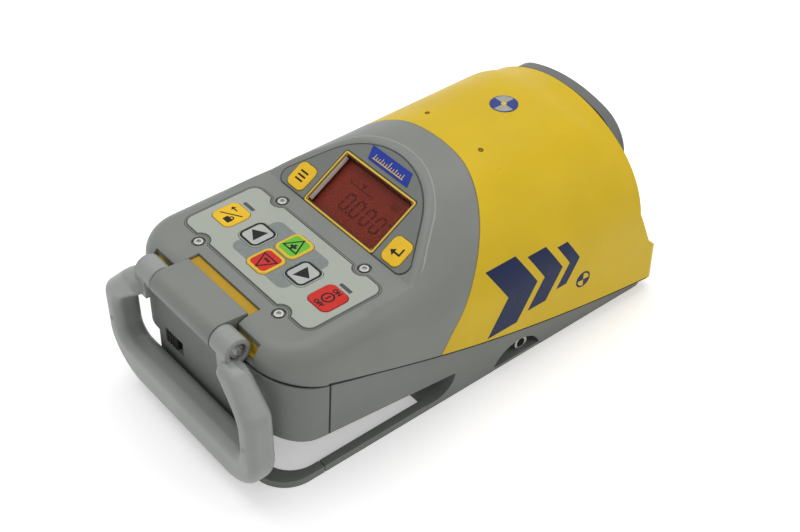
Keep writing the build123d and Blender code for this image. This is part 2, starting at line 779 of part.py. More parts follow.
def under_slot_roof(rise):
    """Everything below the slot's roof, lifted by rise: a straight run that sweeps up at the front."""
    far, near, mid, end = [
        (x, z + rise) for x, z in (SLOT_LINE_FAR, SLOT_LINE_NEAR, SLOT_SWEEP_MID, SLOT_SWEEP_END)
    ]
    rest = Polyline(end, (NEAR_X, end[1]), (NEAR_X, -HIGH_Z), (far[0], -HIGH_Z), far, near)
    return side_prism([ThreePointArc(near, mid, end), *rest.edges()])


def floor_loop():
    """Loop that rests on the floor round the open front half."""
    outer = plan_face(LOOP_FRONT_X, SLOT_THROUGH_X + LOOP_R, BASE_FOOT_HALF_W, LOOP_R, LEAST_R)
    inner_x = LOOP_FRONT_X + LOOP_W + CAP_WEB_X
    inner_r = LOOP_R - LOOP_W + CAP_WEB_X
    inner = plan_face(inner_x, SLOT_THROUGH_X, BASE_FOOT_HALF_W - LOOP_W, inner_r, LEAST_R)
    return extrude(outer - inner, LOOP_Z)


def slot_pockets():
    """Blind scoops in both sides behind the open part of the slot."""
    lean = (SLOT_LINE_NEAR[1] - SLOT_LINE_FAR[1]) / (SLOT_LINE_NEAR[0] - SLOT_LINE_FAR[0])
    start_x = SLOT_THROUGH_X - LOOP_W
    start_top = (start_x, SLOT_LINE_FAR[1] + (start_x - SLOT_LINE_FAR[0]) * lean)
    turn = (SLOT_LINE_FAR[0] - POCKET_FOOT, LOOP_Z)
    middle = (SLOT_LINE_FAR[0] - POCKET_BEND[0], LOOP_Z + POCKET_BEND[1])
    lines = Polyline(SLOT_LINE_FAR, start_top, (start_x, LOOP_Z), turn)
    face = Plane.XZ * make_face([*lines.edges(), ThreePointArc(turn, middle, SLOT_LINE_FAR)])
    scoop = extrude(face, WIDE, both=True)
    return scoop - block((NEAR_X, FAR_END_X), (-SLOT_POCKET_Y, SLOT_POCKET_Y), (LOW_Z, HIGH_Z))


def leg_recesses(grow):
    """Round recesses in both sides round the leg sockets."""
    spans = [sorted((s * (LEG_RECESS_Y - grow), s * WIDE)) for s in SIDES]
    return [rod_y(LEG_RECESS_X, LEG_RECESS_Z, LEG_RECESS_R + grow, *span) for span in spans]


def base_casting():
    form = lower_body(0)
    inside = lower_body(BASE_WALL)
    bay = inside & block((NEAR_X, BAY_END_X), (-WIDE, WIDE), (LOW_Z, HIGH_Z))
    bay -= under_slot_roof(SLOT_ROOF)
    well = inside & block((WELL_START_X, FAR_END_X), (-WIDE, WIDE), (BASE_FLOOR, HIGH_Z))
    well -= leg_recesses(LEG_WALL)
    tunnel_x = (BAY_END_X - OVERCUT, WELL_START_X + OVERCUT)
    tunnel = block(tunnel_x, (-TUNNEL_HALF_W, TUNNEL_HALF_W), (TUNNEL_Z, HIGH_Z))
    slot_end = block((NEAR_X, SLOT_THROUGH_X + BASE_WALL), (-WIDE, WIDE), (LOW_Z, HIGH_Z))
    tunnel -= under_slot_roof(SLOT_ROOF) & slot_end
    casting = form - bay - well - tunnel
    open_front = under_slot_roof(0) & block((NEAR_X, SLOT_THROUGH_X), (-WIDE, WIDE), (-HIGH_Z, HIGH_Z))
    casting -= open_front
    casting -= slot_pockets()
    casting -= leg_recesses(0)
    for x, y in BOLTS:
        casting += rod_z(x, y, BOLT_BOSS_R, 0, BASE_HEAD_Z) & form
    casting += rod_z(CENTRE_X, 0, STUD_BOSS_R, 0, STUD_BOSS_H)
    casting -= block((NEAR_X, CAP_JOINT_X + CAP_GAP / 2), (-WIDE, WIDE), (LOW_Z, HIGH_Z))
    casting += floor_loop() - block((NEAR_X, LOOP_JOINT_X + CAP_GAP / 2), (-WIDE, WIDE), (LOW_Z, HIGH_Z))
    casting &= below_seam(-SEAM_GAP / 2)
    for x, y in BOLTS:
        casting -= rod_z(x, y, BOLT_R + SCREW_GAP, LOW_Z, HIGH_Z)
        casting -= rod_z(x, y, BOLT_HEAD_R + SCREW_GAP, LOW_Z, BOLT_HEAD_Z + BOLT_HEAD_H)
    casting -= rod_z(CENTRE_X, 0, STUD_INSERT_R + INSERT_GAP, LOW_Z, STUD_BOSS_H)
    for side in SIDES:
        span = sorted((side * LEG_INSERT_Y[0], side * WIDE))
        casting -= rod_y(LEG_X, LEG_Z, LEG_INSERT_R + INSERT_GAP, *span)
    return casting


def battery_cover():
    form = lower_body(0) & block((NEAR_X, CAP_JOINT_X - CAP_GAP / 2), (-WIDE, WIDE), (LOW_Z, HIGH_Z))
    hollow = lower_body(CAP_WALL) & block((CAP_INNER_X, FAR_END_X), (-WIDE, WIDE), (LOW_Z, HIGH_Z))
    hollow -= under_slot_roof(CAP_ROOF)
    web = block((NEAR_X, CAP_WEB_X), (-CAP_WEB_HALF_W, CAP_WEB_HALF_W), (-HIGH_Z, HIGH_Z))
    cover = form - hollow - (under_slot_roof(0) - web)
    cover += floor_loop() & block((NEAR_X, LOOP_JOINT_X - CAP_GAP / 2), (-WIDE, WIDE), (LOW_Z, HIGH_Z))
    cover &= below_seam(-SEAM_GAP / 2)
    for side in SIDES:
        cover -= latch_room(side)
    return cover


def latch_span(side, length, slack):
    """Limits across the body of a latch feature with its travel, and slack at both ends."""
    outer = LATCH_Y + length / 2 + slack
    inner = LATCH_Y - length / 2 - slack - LATCH_TRAVEL
    return sorted((side * inner, side * outer))


def latch_room(side):
    """Recess for a latch and the slot behind it for its tongue."""
    half_h = LATCH_H / 2 + LATCH_GAP
    recess = block(
        (NEAR_X, LATCH_FLOOR_X), latch_span(side, LATCH_L, LATCH_GAP), (LATCH_Z - half_h, LATCH_Z + half_h)
    )
    half_slot = TONGUE_H / 2 + LATCH_GAP
    slot = block(
        (0, CAP_INNER_X + OVERCUT),
        latch_span(side, TONGUE_L, LATCH_GAP),
        (LATCH_Z - half_slot, LATCH_Z + half_slot),
    )
    return recess + slot


def battery_latch(side):
    """Sliding latch with finger ridges outside and a head behind the cover's wall."""
    y = side * LATCH_Y
    low = LATCH_FLOOR_X - LATCH_GAP / 2
    head_x = CAP_INNER_X + LATCH_GAP

    def slab(x, length, height):
        return block(x, (y - length / 2, y + length / 2), (LATCH_Z - height / 2, LATCH_Z + height / 2))

    slider = slab((LATCH_FRONT_X, low), LATCH_L, LATCH_H)
    ridge = slider.edges().filter_by(Axis.Z).sort_by(Axis.X)[:2]
    slider = chamfer(ridge, LATCH_CHAMFER)
    for step in (-1, 0, 1):
        groove_y = y + step * LATCH_L / 4
        slider -= rod_z(LATCH_FRONT_X, groove_y, LATCH_GROOVE_R, LATCH_Z - LATCH_H, LATCH_Z + LATCH_H)
    tongue = slab((low, head_x), TONGUE_L, TONGUE_H)
    return slider + tongue + slab((head_x, head_x + LATCH_HEAD_T), LATCH_HEAD_L, LATCH_HEAD_H)


def battery_tray():
    """Open tray that slides into the bay on two runners over the slot's roof."""
    inner_half_w = TRAY_HALF_W - TRAY_WALL
    outer = plan_face(TRAY_X, TRAY_END_X, TRAY_HALF_W, TRAY_R, LEAST_R + TRAY_WALL)
    inner = plan_face(TRAY_X + TRAY_WALL, TRAY_END_X - TRAY_WALL, inner_half_w, TRAY_R - TRAY_WALL, LEAST_R)
    tray = extrude(Pos(0, 0, TRAY_FLOOR_Z) * outer, TRAY_H)
    for side in SIDES:
        width = (side * RUNNER_Y - RUNNER_W / 2, side * RUNNER_Y + RUNNER_W / 2)
        runner = block((CAP_JOINT_X + CAP_GAP, TRAY_END_X), width, (0, TRAY_FLOOR_Z + TRAY_WALL))
        tray += runner - under_slot_roof(SLOT_ROOF + FIT_GAP)
    return tray - extrude(Pos(0, 0, TRAY_FLOOR_Z + TRAY_WALL) * inner, TRAY_H)


def battery_cells():
    """Four D cells, head to tail in each pair."""
    z = TRAY_FLOOR_Z + TRAY_WALL + INSERT_GAP + CELL_R
    cells = []
    for row in (0, 1):
        x = CELL_FRONT_X + row * CELL_PITCH_X
        direction = 1 - 2 * row
        for centre in (-1, 1):
            y = centre * (CELL_L / 2 + INSERT_GAP)
            low = y - CELL_L / 2
            high = y + CELL_L / 2
            can_low = low + (CELL_NUB_L if direction < 0 else 0)
            can_high = high - (CELL_NUB_L if direction > 0 else 0)
            cell = rod_y(x, z, CELL_R, can_low, can_high) + rod_y(x, z, CELL_NUB_R, low, high)
            cells.append(cell)
    return Compound(cells)


def battery_contacts():
    """Brass strips that join the cells at each end of the rows."""
    z = TRAY_FLOOR_Z + TRAY_WALL + INSERT_GAP + CELL_R
    near = CELL_L + 2 * INSERT_GAP + FIT_GAP
    length = CELL_PITCH_X + CELL_R
    strips = []
    for side in SIDES:
        face = Pos(CELL_FRONT_X + CELL_PITCH_X / 2, side * (near + CONTACT_T / 2), z)
        strips.append(face * Box(length, CONTACT_T, CELL_R))
    return Compound(strips)


def stud_insert():
    insert = rod_z(CENTRE_X, 0, STUD_INSERT_R, STUD_BOSS_H - STUD_INSERT_L, STUD_BOSS_H)
    return insert - rod_z(CENTRE_X, 0, STUD_R, LOW_Z, STUD_BOSS_H - STUD_CAP)


def leg_inserts():
    inserts = []
    for side in SIDES:
        span = sorted((side * LEG_INSERT_Y[0], side * LEG_INSERT_Y[1]))
        inserts.append(rod_y(LEG_X, LEG_Z, LEG_INSERT_R, *span) - rod_y(LEG_X, LEG_Z, LEG_R, *span))
    return Compound(inserts)


def cap_screw(radius, length, head_r, head_h):
    """Socket screw along Z: its head sits on z = 0 and its shank hangs below."""
    screw = rod_z(0, 0, radius, -length, 0) + rod_z(0, 0, head_r, 0, head_h)
    rim = screw.faces().sort_by(Axis.Z)[-1].edges()
    screw = chamfer(rim, HEAD_CHAMFER)
    socket = Pos(0, 0, head_h / 2) * RegularPolygon(SOCKET_SHARE * head_r, 6)
    return screw - extrude(socket, head_h)


def base_bolts():
    bolts = []
    for x, y in BOLTS:
        length = seam_z(x) + BOLT_BITE - BOLT_HEAD_Z - BOLT_HEAD_H
        bolt = cap_screw(BOLT_R, length, BOLT_HEAD_R, BOLT_HEAD_H)
        bolts.append(Pos(x, y, BOLT_HEAD_Z + BOLT_HEAD_H) * Rot(180, 0, 0) * bolt)
    return Compound(bolts)


# Keypad and display


def keypad_plate():
    plate = extrude(PANEL * Pos(0, 0, -PLATE_SINK) * plate_outline(0), PLATE_SINK + PLATE_PROUD)
    plate -= key_pads(KEY_GAP, -COVER_WALL, COVER_WALL)[0]
    for side in SIDES:
        plate -= PANEL * pad(
            (INDICATOR_X, side * INDICATOR_Y),
            INDICATOR_W + 2 * INSERT_GAP,
            INDICATOR_L + 2 * INSERT_GAP,
            INDICATOR_W / 4,
            -COVER_WALL,
            COVER_WALL,
        )
    return plate


def key(plane, centre, length, width):
    """Key cap with flanges along two sides that hold it under the cover."""
    foot = -COVER_WALL - KEY_GAP - KEY_FLANGE_T
    cap = pad(centre, length, width, KEY_R, foot, KEY_PROUD)
    cap = fillet(cap.faces().sort_by(Axis.Z)[-1].edges(), KEY_EDGE_R)
    flange = pad(centre, length, width + 2 * KEY_FLANGE, KEY_R, foot, foot + KEY_FLANGE_T)
    return plane * (cap + flange)


def indicator_windows():
    size = (INDICATOR_W, INDICATOR_L, INDICATOR_W / 4)
    centres = [(INDICATOR_X, s * INDICATOR_Y) for s in SIDES]
    return Compound([PANEL * pad(centre, *size, -PLATE_SINK, PLATE_PROUD) for centre in centres])


def panel_screws():
    head_h = PANEL_HEAD_H + PANEL_HEAD_PROUD
    screw = cap_screw(PANEL_SCREW_R, PANEL_SCREW_L - PANEL_HEAD_H, PANEL_HEAD_R, head_h)
    return Compound([Pos(x, y, PANEL_Z - PANEL_HEAD_H) * screw for x, y in panel_screw_places()])


def mat_level():
    """Height of the key mat's top under the panel."""
    return -COVER_WALL - KEY_GAP - KEY_FLANGE_T - KEY_TRAVEL - KEY_GAP


def key_mat():
    top = mat_level()
    length = MAT_X[1] - MAT_X[0] - 2 * FIT_GAP
    mat = pad((sum(MAT_X) / 2, 0), length, 2 * (MAT_HALF_W - FIT_GAP), KEY_R, top - MAT_T, top)
    return PANEL * mat


def keypad_board():
    top = mat_level() - MAT_T
    length = MAT_X[1] - MAT_X[0] + 2 * BOARD_LAP
    width = 2 * (MAT_HALF_W + BOARD_LAP)
    return PANEL * pad((sum(MAT_X) / 2, 0), length, width, LEAST_R, top - BOARD_T, top)


def display_overlay():
    sheet = extrude(SLOPE * Pos(0, 0, -OVERLAY_SINK) * overlay_outline(0), OVERLAY_SINK + OVERLAY_PROUD)
    sheet -= frame_pad(FIT_GAP, -COVER_WALL, COVER_WALL)
    return sheet - key_pads(KEY_GAP, -COVER_WALL, COVER_WALL)[1]


def display_frame():
    ring = frame_pad(0, -COVER_WALL, FRAME_PROUD)
    return ring - frame_pad(-FRAME_BAND, -2 * COVER_WALL, COVER_WALL)


def display_window():
    return frame_pad(WINDOW_LIP, -COVER_WALL - INSERT_GAP - WINDOW_T, -COVER_WALL - INSERT_GAP)


def lcd_top():
    return -COVER_WALL - FIT_GAP - INNER_WALL - INSERT_GAP


def lcd_module():
    """Glass cell in front, carrier flange behind the housing wall."""
    top = lcd_top()
    glass_top = -COVER_WALL - 2 * INSERT_GAP - WINDOW_T
    glass = pad((0, FRAME_S), LCD_W, LCD_H, LEAST_R, top - INSERT_GAP, glass_top)
    carrier_size = (LCD_W + 2 * LCD_FLANGE, LCD_H + 2 * LCD_FLANGE, LEAST_R)
    carrier = pad((0, FRAME_S), *carrier_size, top - LCD_T, top - INSERT_GAP)
    return SLOPE * (glass + carrier)


def display_board():
    """Board behind the display, with a switch under each of the two upper keys."""
    top = lcd_top() - LCD_T - INSERT_GAP
    board = pad((0, DISPLAY_BOARD_S), DISPLAY_BOARD_W, DISPLAY_BOARD_H, LEAST_R, top - BOARD_T, top)
    for u, s in SLOPE_KEYS.values():
        board += Pos(u, s, (top + mat_level()) / 2) * Cylinder(KEY_R, mat_level() - top)
    return SLOPE * board


def badge_plate():
    """Bare slanted plate above the display."""
    low, high = BADGE_S
    outline = Polyline(
        (-BADGE_HALF_W + BADGE_SLANT / 2, low),
        (BADGE_HALF_W + BADGE_SLANT / 2, low),
        (BADGE_HALF_W - BADGE_SLANT / 2, high),
        (-BADGE_HALF_W - BADGE_SLANT / 2, high),
        close=True,
    )
    face = fillet(make_face(outline.edges()).vertices(), BADGE_T)
    return extrude(SLOPE * Pos(0, 0, OVERLAY_PROUD) * face, BADGE_T)


# Handle


def hinge_block():
    low_z = PIVOT_Z - BLOCK_R
    top = (PIVOT_X, PIVOT_Z + BLOCK_R)
    nose = (PIVOT_X - BLOCK_R, PIVOT_Z)
    foot = (PIVOT_X, low_z)
    lines = Polyline(foot, (BLOCK_REAR_X, low_z), (BLOCK_REAR_X, BLOCK_REAR_TOP_Z), top)
    face = make_face([*lines.edges(), ThreePointArc(top, nose, foot)])
    body = extrude(Plane.XZ * face, BLOCK_HALF_W, both=True)
    body -= rod_y(PIVOT_X, PIVOT_Z, PIVOT_SCREW_R + SCREW_GAP, -WIDE, WIDE)
    for side in SIDES:
        hole_r = BLOCK_SCREW_R + SCREW_GAP
        body -= rod_x(side * BLOCK_SCREW_Y, BLOCK_SCREW_Z, hole_r, BLOCK_SCREW_TIP_X - OVERCUT, WIDE)
    return body


def both_sides(points):
    """Closed outline through points on one side and their mirror images on the other."""
    return make_face(Polyline(*points, *[(-y, z) for y, z in reversed(points)], close=True).edges())


def handle_outline():
    """Front view of the grip and arms (y, z), with the opening for the hand."""
    face = both_sides(
        [(ARM_TOP_Y[1], ARM_TOP_Z), (ARM_Y[1], ARM_BEND_OUT_Z), (ARM_Y[1], GRIP_LOW_Z)]
    )
    hole = both_sides(
        [
            (ARM_TOP_Y[0], HIGH_Z),
            (ARM_TOP_Y[0], ARM_BEND_IN_Z[0]),
            (ARM_Y[0], ARM_BEND_IN_Z[1]),
            (ARM_Y[0], GRIP_TOP_Z),
        ]
    )
    face = fillet([v for v in face.vertices() if v.Y < GRIP_LOW_Z + 1], HANDLE_CORNER_R)
    face = fillet([v for v in face.vertices() if v.Y > ARM_BEND_OUT_Z - 1], ARM_BEND_R)
    hole = fillet([v for v in hole.vertices() if v.Y < GRIP_TOP_Z + 1], WINDOW_CORNER_R)
    hole = fillet([v for v in hole.vertices() if ARM_BEND_IN_Z[1] - 1 < v.Y < ARM_TOP_Z], ARM_BEND_R)
    return face - hole


def handle_profile():
    """Side view of the handle (x, z): it bows forward between the hinge and the grip."""
    lines = Polyline(
        (ARM_TOP_FRONT_X, ARM_TOP_Z),
        (ARM_FRONT_X, ARM_FRONT_Z[0]),
        (ARM_FRONT_X, ARM_FRONT_Z[1]),
        (GRIP_FRONT_X, GRIP_LOW_Z),
        (HANDLE_REAR_X, GRIP_LOW_Z),
        (HANDLE_REAR_X, ARM_TOP_Z),
        close=True,
    )
    face = make_face(lines.edges())
    return fillet([v for v in face.vertices() if v.X < GRIP_FRONT_X - 1], BOW_R)


def handle():
    body = extrude(Plane.YZ.offset(NEAR_X) * handle_outline(), -2 * NEAR_X)
    body &= extrude(Plane.XZ * handle_profile(), WIDE, both=True)
    body = fillet(body.edges(), HANDLE_EDGE_R)
    for s in SIDES:
        arm_y = s * sum(ARM_Y) / 2
        body += Pos(HANDLE_FRONT_X + NUB_R, arm_y, NUB_Z) * Sphere(NUB_R)
        neck_y = sorted((s * NECK_Y, s * LUG_OUT_Y))
        body += block((PIVOT_X - LUG_R, HANDLE_REAR_X), neck_y, (NECK_LOW_Z, PIVOT_Z))
        body += rod_y(PIVOT_X, PIVOT_Z, LUG_R, *sorted((s * LUG_IN_Y, s * LUG_OUT_Y)))
        body -= rod_y(PIVOT_X, PIVOT_Z, BUSH_R + BUSH_RUN, *sorted((0, s * WIDE)))
        body -= rod_y(PIVOT_X, PIVOT_Z, PIVOT_BORE_R, *sorted((s * PIVOT_SEAT_Y, s * WIDE)))
    return body


def handle_bushes():
    bushes = []
    for s in SIDES:
        span = sorted((s * (BLOCK_HALF_W + INSERT_GAP), s * (PIVOT_SEAT_Y + INSERT_GAP)))
        bore = rod_y(PIVOT_X, PIVOT_Z, PIVOT_SCREW_R + SCREW_GAP, *span)
        bushes.append(rod_y(PIVOT_X, PIVOT_Z, BUSH_R, *span) - bore)
    return Compound(bushes)


def handle_pivot_screws():
    length = PIVOT_SEAT_Y + 2 * INSERT_GAP - PIVOT_SCREW_END_Y
    screw = cap_screw(PIVOT_SCREW_R, length, PIVOT_HEAD_R, PIVOT_HEAD_H)
    seat = PIVOT_SEAT_Y + 2 * INSERT_GAP
    return Compound([Pos(PIVOT_X, s * seat, PIVOT_Z) * Rot(-90 * s, 0, 0) * screw for s in SIDES])


def hinge_screws():
    seat = FRONT_WALL_X + INSERT_GAP
    screw = cap_screw(BLOCK_SCREW_R, seat - BLOCK_SCREW_TIP_X, BLOCK_SCREW_HEAD_R, BLOCK_SCREW_HEAD_H)
    return Compound([Pos(seat, s * BLOCK_SCREW_Y, BLOCK_SCREW_Z) * Rot(0, 90, 0) * screw for s in SIDES])


# Aperture


def aperture_bezel():
    """Arched frame with a tongue down the beam channel, seated for the glass."""
    w = BEZEL_HALF_W
    edge_z = BEZEL_TOP_Z - BEZEL_CROWN_R + sqrt(BEZEL_CROWN_R**2 - w * w)
    tongue = CHANNEL_HALF_W - BEZEL_TONGUE_GAP
    low = CHANNEL_Z + BEZEL_TONGUE_GAP
    lines = Polyline(
        (w, edge_z), (w, BEZEL_LEG_Z), (tongue, BEZEL_LEG_Z), (tongue, low),
        (-tongue, low), (-tongue, BEZEL_LEG_Z), (-w, BEZEL_LEG_Z), (-w, edge_z),
    )
    face = make_face([*lines.edges(), ThreePointArc((-w, edge_z), (0, BEZEL_TOP_Z), (w, edge_z))])
    shoulders = [v for v in face.vertices() if abs(v.Y - edge_z) < 0.1]
    face = fillet(shoulders, BEZEL_SHOULDER_R)
    back = END_FACE_X + BEZEL_GAP
    front = back + BEZEL_T
    body = extrude(Plane.YZ.offset(back) * face, BEZEL_T)
    body -= aperture_prism(GLASS_LAP + GLASS_GAP, END_FACE_X, glass_x()[1] + GLASS_GAP)
    body -= aperture_prism(0, END_FACE_X, FAR_END_X)
    for y, z in BEZEL_SCREWS:
        body -= rod_x(y, z, BEZEL_SCREW_R + SCREW_GAP, END_FACE_X, FAR_END_X)
        body -= rod_x(y, z, BEZEL_HEAD_R + 2 * SCREW_GAP, front - BEZEL_HEAD_H, FAR_END_X)
    return body


def glass_x():
    near = END_FACE_X + SEAL_T + GLASS_GAP
    return near, near + GLASS_T


def aperture_window():
    return aperture_prism(GLASS_LAP, *glass_x())


def window_seal():
    near = END_FACE_X + GLASS_GAP / 2
    return aperture_prism(GLASS_LAP, near, near + SEAL_T) - aperture_prism(GLASS_GAP, END_FACE_X, FAR_END_X)


def bezel_screws():
    seat = END_FACE_X + BEZEL_GAP + BEZEL_T - BEZEL_HEAD_H
    screw = cap_screw(BEZEL_SCREW_R, BEZEL_SCREW_L - BEZEL_HEAD_H, BEZEL_HEAD_R, BEZEL_HEAD_H - GLASS_GAP)
    return Compound([Pos(seat, y, z) * Rot(0, 90, 0) * screw for y, z in BEZEL_SCREWS])


# Mechanism


def deck_z():
    low = BASE_FLOOR + FIT_GAP + CHASSIS_T + BEARING_H + DECK_GAP
    return low, low + DECK_T


def chassis_plate():
    low = BASE_FLOOR + FIT_GAP
    plate = block(CHASSIS_X, (-CHASSIS_HALF_W, CHASSIS_HALF_W), (low, low + CHASSIS_T))
    plate -= rod_z(CENTRE_X, 0, STUD_BOSS_R + FIT_GAP, LOW_Z, HIGH_Z)
    span = (LINE_X - LINE_BLOCK_HALF_L, LINE_X + LINE_BLOCK_HALF_L)
    for s in SIDES:
        plate += block(span, sorted((s * LINE_BLOCK_Y[0], s * LINE_BLOCK_Y[1])), (low, LINE_BLOCK_TOP_Z))
    return plate - rod_y(LINE_X, LINE_Z, JOURNAL_R + RUN_GAP, -CHASSIS_HALF_W, CHASSIS_HALF_W)


def turntable_bearing():
    low = BASE_FLOOR + FIT_GAP + CHASSIS_T
    ring = rod_z(CENTRE_X, 0, BEARING_R[1], low, low + BEARING_H)
    return ring - rod_z(CENTRE_X, 0, BEARING_R[0], low, low + BEARING_H)


def screw_x():
    return CENTRE_X - SCREW_ARM


def line_turntable():
    """Ring deck with trunnion cheeks, a bracket for the grade drive and a fork for the line drive."""
    low, high = deck_z()
    deck = rod_z(CENTRE_X, 0, DECK_R[1], low, high)
    for s in SIDES:
        deck += block((RAIL_END_X, CENTRE_X), sorted((s * CHEEK_Y[0], s * CHEEK_Y[1])), (low, high))
        span = sorted((s * CHEEK_Y[0], s * CHEEK_Y[1]))
        deck += block((CENTRE_X - CHEEK_HALF_L, CENTRE_X + CHEEK_HALF_L), span, (low, TILT_Z))
        deck += rod_y(CENTRE_X, TILT_Z, CHEEK_HALF_L, *span)
    deck += block((RAIL_END_X, TAIL_X), (-CHEEK_Y[1], CHEEK_Y[1]), (low, high))
    deck += block((FORK_END_X, RAIL_END_X), (-FORK_HALF_W, FORK_HALF_W), (low, high))
    slot = PIN_R + FORK_SLACK
    deck -= block((FORK_END_X - OVERCUT, FORK_SLOT_X), (-slot, slot), (LOW_Z, HIGH_Z))
    foot = (screw_x() - NUT_L / 2, screw_x() + NUT_L / 2)
    deck += block(foot, (-CHEEK_Y[1], NUT_IN_Y), (low, high))
    deck += block(POST_X, (-POST_HALF_W, POST_HALF_W), (low, SHELF_Z + SHELF_T))
    deck += block((POST_X[0], SHELF_END_X), (-POST_HALF_W, POST_HALF_W), (SHELF_Z, SHELF_Z + SHELF_T))
    deck -= rod_z(CENTRE_X, 0, DECK_R[0], LOW_Z, TILT_Z - CHEEK_HALF_L - BARREL_R / 2) & block(
        (CENTRE_X - DECK_R[0], CENTRE_X + DECK_R[0]), (-CHEEK_Y[0], CHEEK_Y[0]), (low, high)
    )
    deck -= rod_z(screw_x(), 0, JOURNAL_R + RUN_GAP, LOW_Z, SHELF_Z - OVERCUT)
    deck -= rod_z(screw_x(), 0, SCREW_R + FIT_GAP, SHELF_Z - OVERCUT, HIGH_Z)
    return deck - rod_y(CENTRE_X, TILT_Z, TRUNNION_R + RUN_GAP, -WIDE, WIDE)


def laser_cradle():
    span = (CENTRE_X - CRADLE_HALF_L, CENTRE_X + CRADLE_HALF_L)
    ring = rod_x(0, TILT_Z, CRADLE_R, *span) + rod_y(CENTRE_X, TILT_Z, TRUNNION_R, -TRUNNION_Y, TRUNNION_Y)
    return ring - rod_x(0, TILT_Z, BARREL_R + CRADLE_GAP, *span)


def laser_barrel():
    """Tube closed at the back by a plug that holds the diode and the slotted lever."""
    tube = rod_x(0, TILT_Z, BARREL_R, *BARREL_X)
    tube -= rod_x(0, TILT_Z, BARREL_BORE_R, BARREL_X[0] + BARREL_PLUG, BARREL_X[1])
    lever_z = (TILT_Z - LEVER_HALF_H, TILT_Z + LEVER_HALF_H)
    lever = block((CENTRE_X - LEVER_END, BARREL_X[0] + OVERCUT), LEVER_Y, lever_z)
    slot = PIN_R + FORK_SLACK
    slot_x = (CENTRE_X - LEVER_END - OVERCUT, CENTRE_X - LEVER_SLOT)
    lever -= block(slot_x, LEVER_Y, (TILT_Z - slot, TILT_Z + slot))
    return tube + lever - rod_x(0, TILT_Z, DIODE_R + INSERT_GAP, 0, BARREL_X[0] + BARREL_PLUG)


def laser_diode():
    can = rod_x(0, TILT_Z, DIODE_R, BARREL_X[0], BARREL_X[0] + DIODE_L)
    return can + rod_x(0, TILT_Z, DIODE_R / 2, BARREL_X[0] - DIODE_R, BARREL_X[0])


def collimator_lens():
    """Round lens bulged on both faces."""
    edge = BARREL_BORE_R - INSERT_GAP
    ball_r = (edge * edge + LENS_BULGE * LENS_BULGE) / (2 * LENS_BULGE)
    half_t = LENS_T / 2 + LENS_BULGE
    lens = rod_x(0, TILT_Z, edge, LENS_X - half_t, LENS_X + half_t)
    for s in SIDES:
        lens &= Pos(LENS_X + s * (half_t - ball_r), 0, TILT_Z) * Rot(0, 90, 0) * Sphere(ball_r)
    return lens


def level_sensor():
    low = TILT_Z + BARREL_R + CRADLE_GAP
    near = CENTRE_X + CRADLE_HALF_L + LEVEL_GAP
    body = block((near, near + LEVEL_L), (-LEVEL_W / 2, LEVEL_W / 2), (low, low + LEVEL_H))
    return fillet(body.edges().filter_by(Axis.X), LEAST_R)


def grade_screw():
    low, high = deck_z()
    screw = rod_z(screw_x(), 0, SCREW_R, high + FIT_GAP, SHELF_Z + SHELF_T - FIT_GAP)
    return screw + rod_z(screw_x(), 0, JOURNAL_R, low + FIT_GAP, SHELF_Z + SHELF_T + FIT_GAP + SCREW_R)


def grade_motor():
    low = SHELF_Z + SHELF_T
    motor = rod_z(screw_x(), 0, MOTOR_R, low, low + MOTOR_L)
    motor = fillet(motor.faces().sort_by(Axis.Z)[-1].edges(), LEAST_R)
    return motor - rod_z(screw_x(), 0, JOURNAL_R + RUN_GAP, low, low + 2 * SCREW_R)


def grade_nut():
    along = (screw_x() - NUT_L / 2, screw_x() + NUT_L / 2)
    body = block(along, (-NUT_L / 2, NUT_IN_Y), (TILT_Z - NUT_H / 2, TILT_Z + NUT_H / 2))
    body += rod_y(screw_x(), TILT_Z, PIN_R, 0, LEVER_Y[1])
    return body - rod_z(screw_x(), 0, SCREW_R + RUN_GAP, LOW_Z, HIGH_Z)


def line_screw():
    inner = LINE_BLOCK_Y[0] - FIT_GAP
    screw = rod_y(LINE_X, LINE_Z, SCREW_R, -inner, inner)
    return screw + rod_y(LINE_X, LINE_Z, JOURNAL_R, -LINE_BLOCK_Y[1], LINE_BLOCK_Y[1] + SCREW_R)


def line_motor():
    near = LINE_BLOCK_Y[1]
    motor = rod_y(LINE_X, LINE_Z, LINE_MOTOR_R, near, near + LINE_MOTOR_L)
    motor = fillet(motor.faces().sort_by(Axis.Y)[-1].edges(), LEAST_R)
    return motor - rod_y(LINE_X, LINE_Z, JOURNAL_R + RUN_GAP, near, near + 2 * SCREW_R)


def line_nut():
    low = deck_z()[1] + LINE_NUT_GAP
    half = NUT_L / 2
    body = block((LINE_X - half, LINE_X + half), (-half, half), (low, 2 * LINE_Z - low))
    body += rod_z(LINE_X, 0, PIN_R, deck_z()[0] - FIT_GAP, low)
    return body - rod_y(LINE_X, LINE_Z, SCREW_R + RUN_GAP, -WIDE, WIDE)


def main_board():
    height = (MAIN_BOARD_Z, MAIN_BOARD_Z + BOARD_T)
    board = block(MAIN_BOARD_X, (-MAIN_BOARD_HALF_W, MAIN_BOARD_HALF_W), height)
    return fillet(board.edges().filter_by(Axis.Z), MAIN_BOARD_R)


